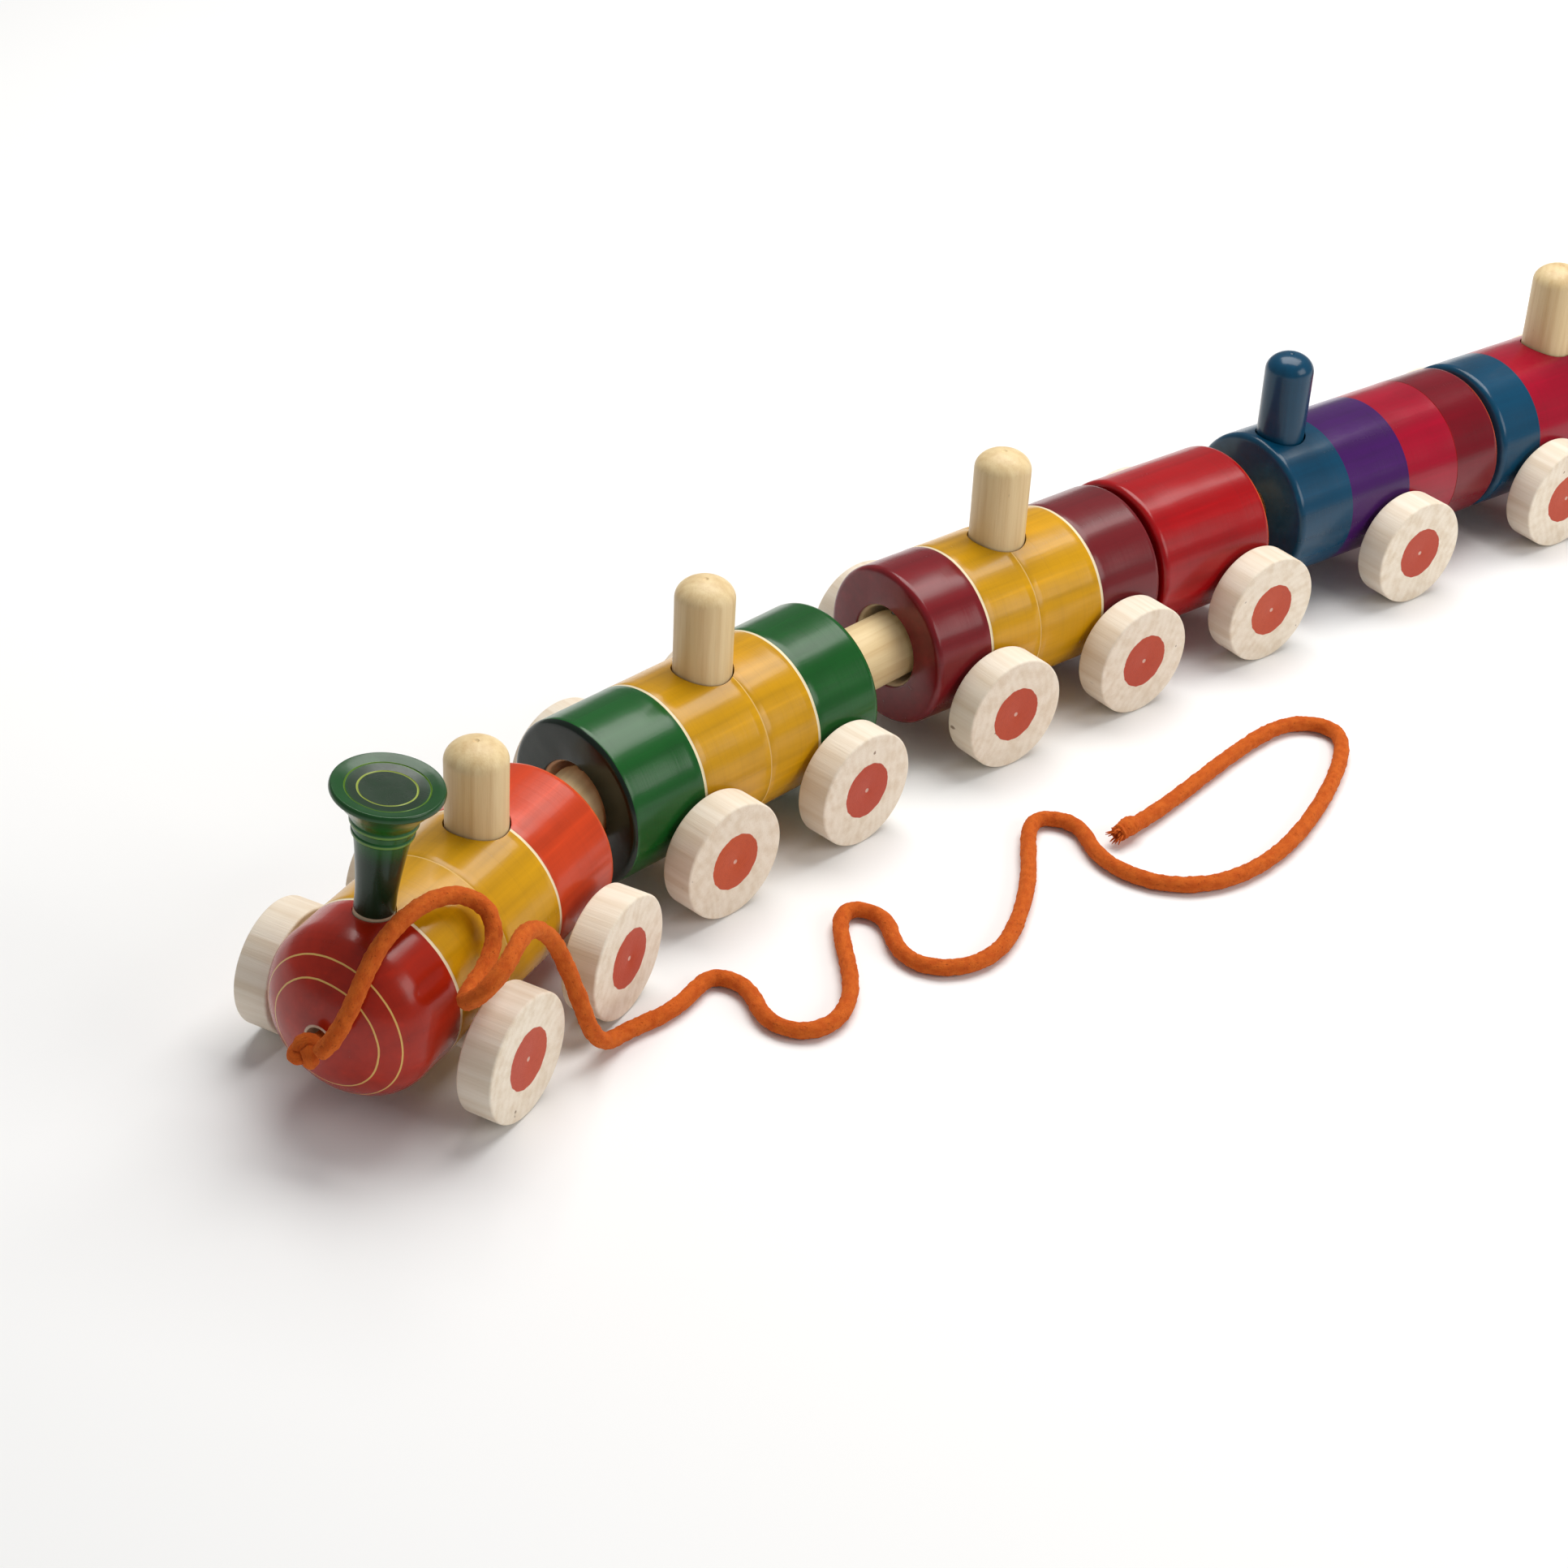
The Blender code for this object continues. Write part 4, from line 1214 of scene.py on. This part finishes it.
class TRAIN_OT_funnel(bpy.types.Operator):
    """Make the flared smoke funnel"""

    bl_idname = "train.funnel"
    bl_label = "Make the funnel"

    def execute(self, context):
        look = context.scene.train_lacquer
        engine = Vehicle("engine")
        top, rim, stem = FUNNEL_HEIGHT, FUNNEL_RIM, FUNNEL_STEM
        dish = [(0.0, top - 0.0012), (0.26 * rim, top - 0.0012), (0.50 * rim, top - 0.00115),
                (0.515 * rim, top - 0.0014), (0.53 * rim, top - 0.00110),
                (0.72 * rim, top - 0.0008), (0.733 * rim, top - 0.00105),
                (0.746 * rim, top - 0.0007), (0.90 * rim, top - 0.0001, 0.0008),
                (0.97 * rim, top, 0.0003), (rim, 0.98 * top, 0.0004),
                (rim, 0.955 * top, 0.0004)]
        flare = eased([(0.955 * rim, 0.938 * top), (0.90 * rim, 0.916 * top),
                       (0.78 * rim, 0.860 * top), (0.67 * rim, 0.805 * top),
                       (0.60 * rim, 0.755 * top)], 6)
        neck = [(0.610 * rim, 0.744 * top, 0.0003), (0.605 * rim, 0.718 * top, 0.0003),
                (0.565 * rim, 0.708 * top), (0.545 * rim, 0.665 * top),
                (0.560 * rim, 0.655 * top, 0.0002), (0.553 * rim, 0.628 * top, 0.0002),
                (0.510 * rim, 0.617 * top)]
        lower = eased([(0.485 * rim, 0.56 * top), (0.455 * rim, 0.48 * top),
                       (0.425 * rim, 0.38 * top), (0.392 * rim, 0.26 * top),
                       (stem, 0.14 * top), (stem, 0.0)], 5)
        tenon = [(stem, -FUNNEL_SEAT), (FUNNEL_TENON, -FUNNEL_SEAT),
                 (FUNNEL_TENON, -FUNNEL_TENON_DEPTH), (0.0, -FUNNEL_TENON_DEPTH)]
        shape = lathe(dish + flare + neck + lower + tenon, 96)
        place = funnel_place(engine)
        settle("turned_engine_funnel", shape, place, make_funnel_lacquer(look, top), "engine",
               "engine_funnel", 400)
        return {"FINISHED"}


class TRAIN_OT_couplings(bpy.types.Operator):
    """Make the coupling dowels and their upright pins"""

    bl_idname = "train.couplings"
    bl_label = "Make the couplings"

    def execute(self, context):
        wood = context.scene.train_wood
        bar_finish = make_wood("drawbar_wood", wood, 0.45, True)
        steel = make_steel()
        for number, (name, after) in enumerate(zip(VEHICLES, VEHICLES[1:])):
            vehicle = Vehicle(name)
            node = name + "_drawbar"
            low, high = vehicle.size(node)
            radius = vehicle.reach(node, vehicle.axis_height)
            place = vehicle.along(vehicle.axis_height)
            shape = lathe([(0.0, high.x), (radius, high.x, 0.0005),
                           (radius, (low.x + high.x) / 2), (radius, low.x + 0.004, 0.0012),
                           (radius - 0.004, low.x, 0.0008), (0.0, low.x)], 80, 0.006, number)
            bar = lay("turned_" + node, shape, place)
            pin = joint_spot(vehicle, after + "_swing")
            cutter = bmesh.new()
            rod(cutter, vehicle.upright(pin.x, vehicle.axis_height), PIN_HOLE, 4 * radius, 24)
            carve(bar, cutter)
            dress(bar, place, bar_finish, name, node, 500 + number)

            follower = Vehicle(after)
            node = after + "_coupling_pin"
            low, high = follower.size(node)
            radius = (high.x - low.x) / 2
            place = follower.upright((low.x + high.x) / 2)
            shape = lathe([(0.0, high.z), (radius, high.z, 0.0004),
                           (radius, low.z, 0.0003), (0.0, low.z)], 32)
            settle("steel_" + node, shape, place, steel, after, node, 600 + number)
        return {"FINISHED"}


# ---------------------------------------------------------------- panel and registration
OPERATORS = (TRAIN_OT_stage, TRAIN_OT_cord, TRAIN_OT_bodies, TRAIN_OT_wheels, TRAIN_OT_pegs,
             TRAIN_OT_funnel, TRAIN_OT_couplings)
LOOKS = {"train_wood": WoodLook, "train_lacquer": LacquerLook, "train_cord": CordLook,
         "train_stage": StageLook}


class TRAIN_PT_panel(bpy.types.Panel):
    """Lists the steps that make the train, and its sizes and colours"""

    bl_idname = "TRAIN_PT_panel"
    bl_label = "Wooden train"
    bl_space_type = "VIEW_3D"
    bl_region_type = "UI"
    bl_category = "Wooden train"

    def draw(self, context):
        for operator in OPERATORS:
            self.layout.operator(operator.bl_idname)
        for attribute, look in LOOKS.items():
            box = self.layout.box()
            box.label(text=look.__name__)
            for key in look.__annotations__:
                box.prop(getattr(context.scene, attribute), key)


def register():
    for look in LOOKS.values():
        bpy.utils.register_class(look)
    for attribute, look in LOOKS.items():
        setattr(bpy.types.Scene, attribute, bpy.props.PointerProperty(type=look))
    for operator in OPERATORS:
        bpy.utils.register_class(operator)
    bpy.utils.register_class(TRAIN_PT_panel)


def unregister():
    bpy.utils.unregister_class(TRAIN_PT_panel)
    for operator in reversed(OPERATORS):
        bpy.utils.unregister_class(operator)
    for attribute in LOOKS:
        delattr(bpy.types.Scene, attribute)
    for look in reversed(LOOKS.values()):
        bpy.utils.unregister_class(look)


def main():
    register()
    bpy.ops.train.stage()
    bpy.ops.train.cord()
    bpy.ops.train.bodies()
    bpy.ops.train.wheels()
    bpy.ops.train.pegs()
    bpy.ops.train.funnel()
    bpy.ops.train.couplings()


if __name__ == "__main__":
    main()
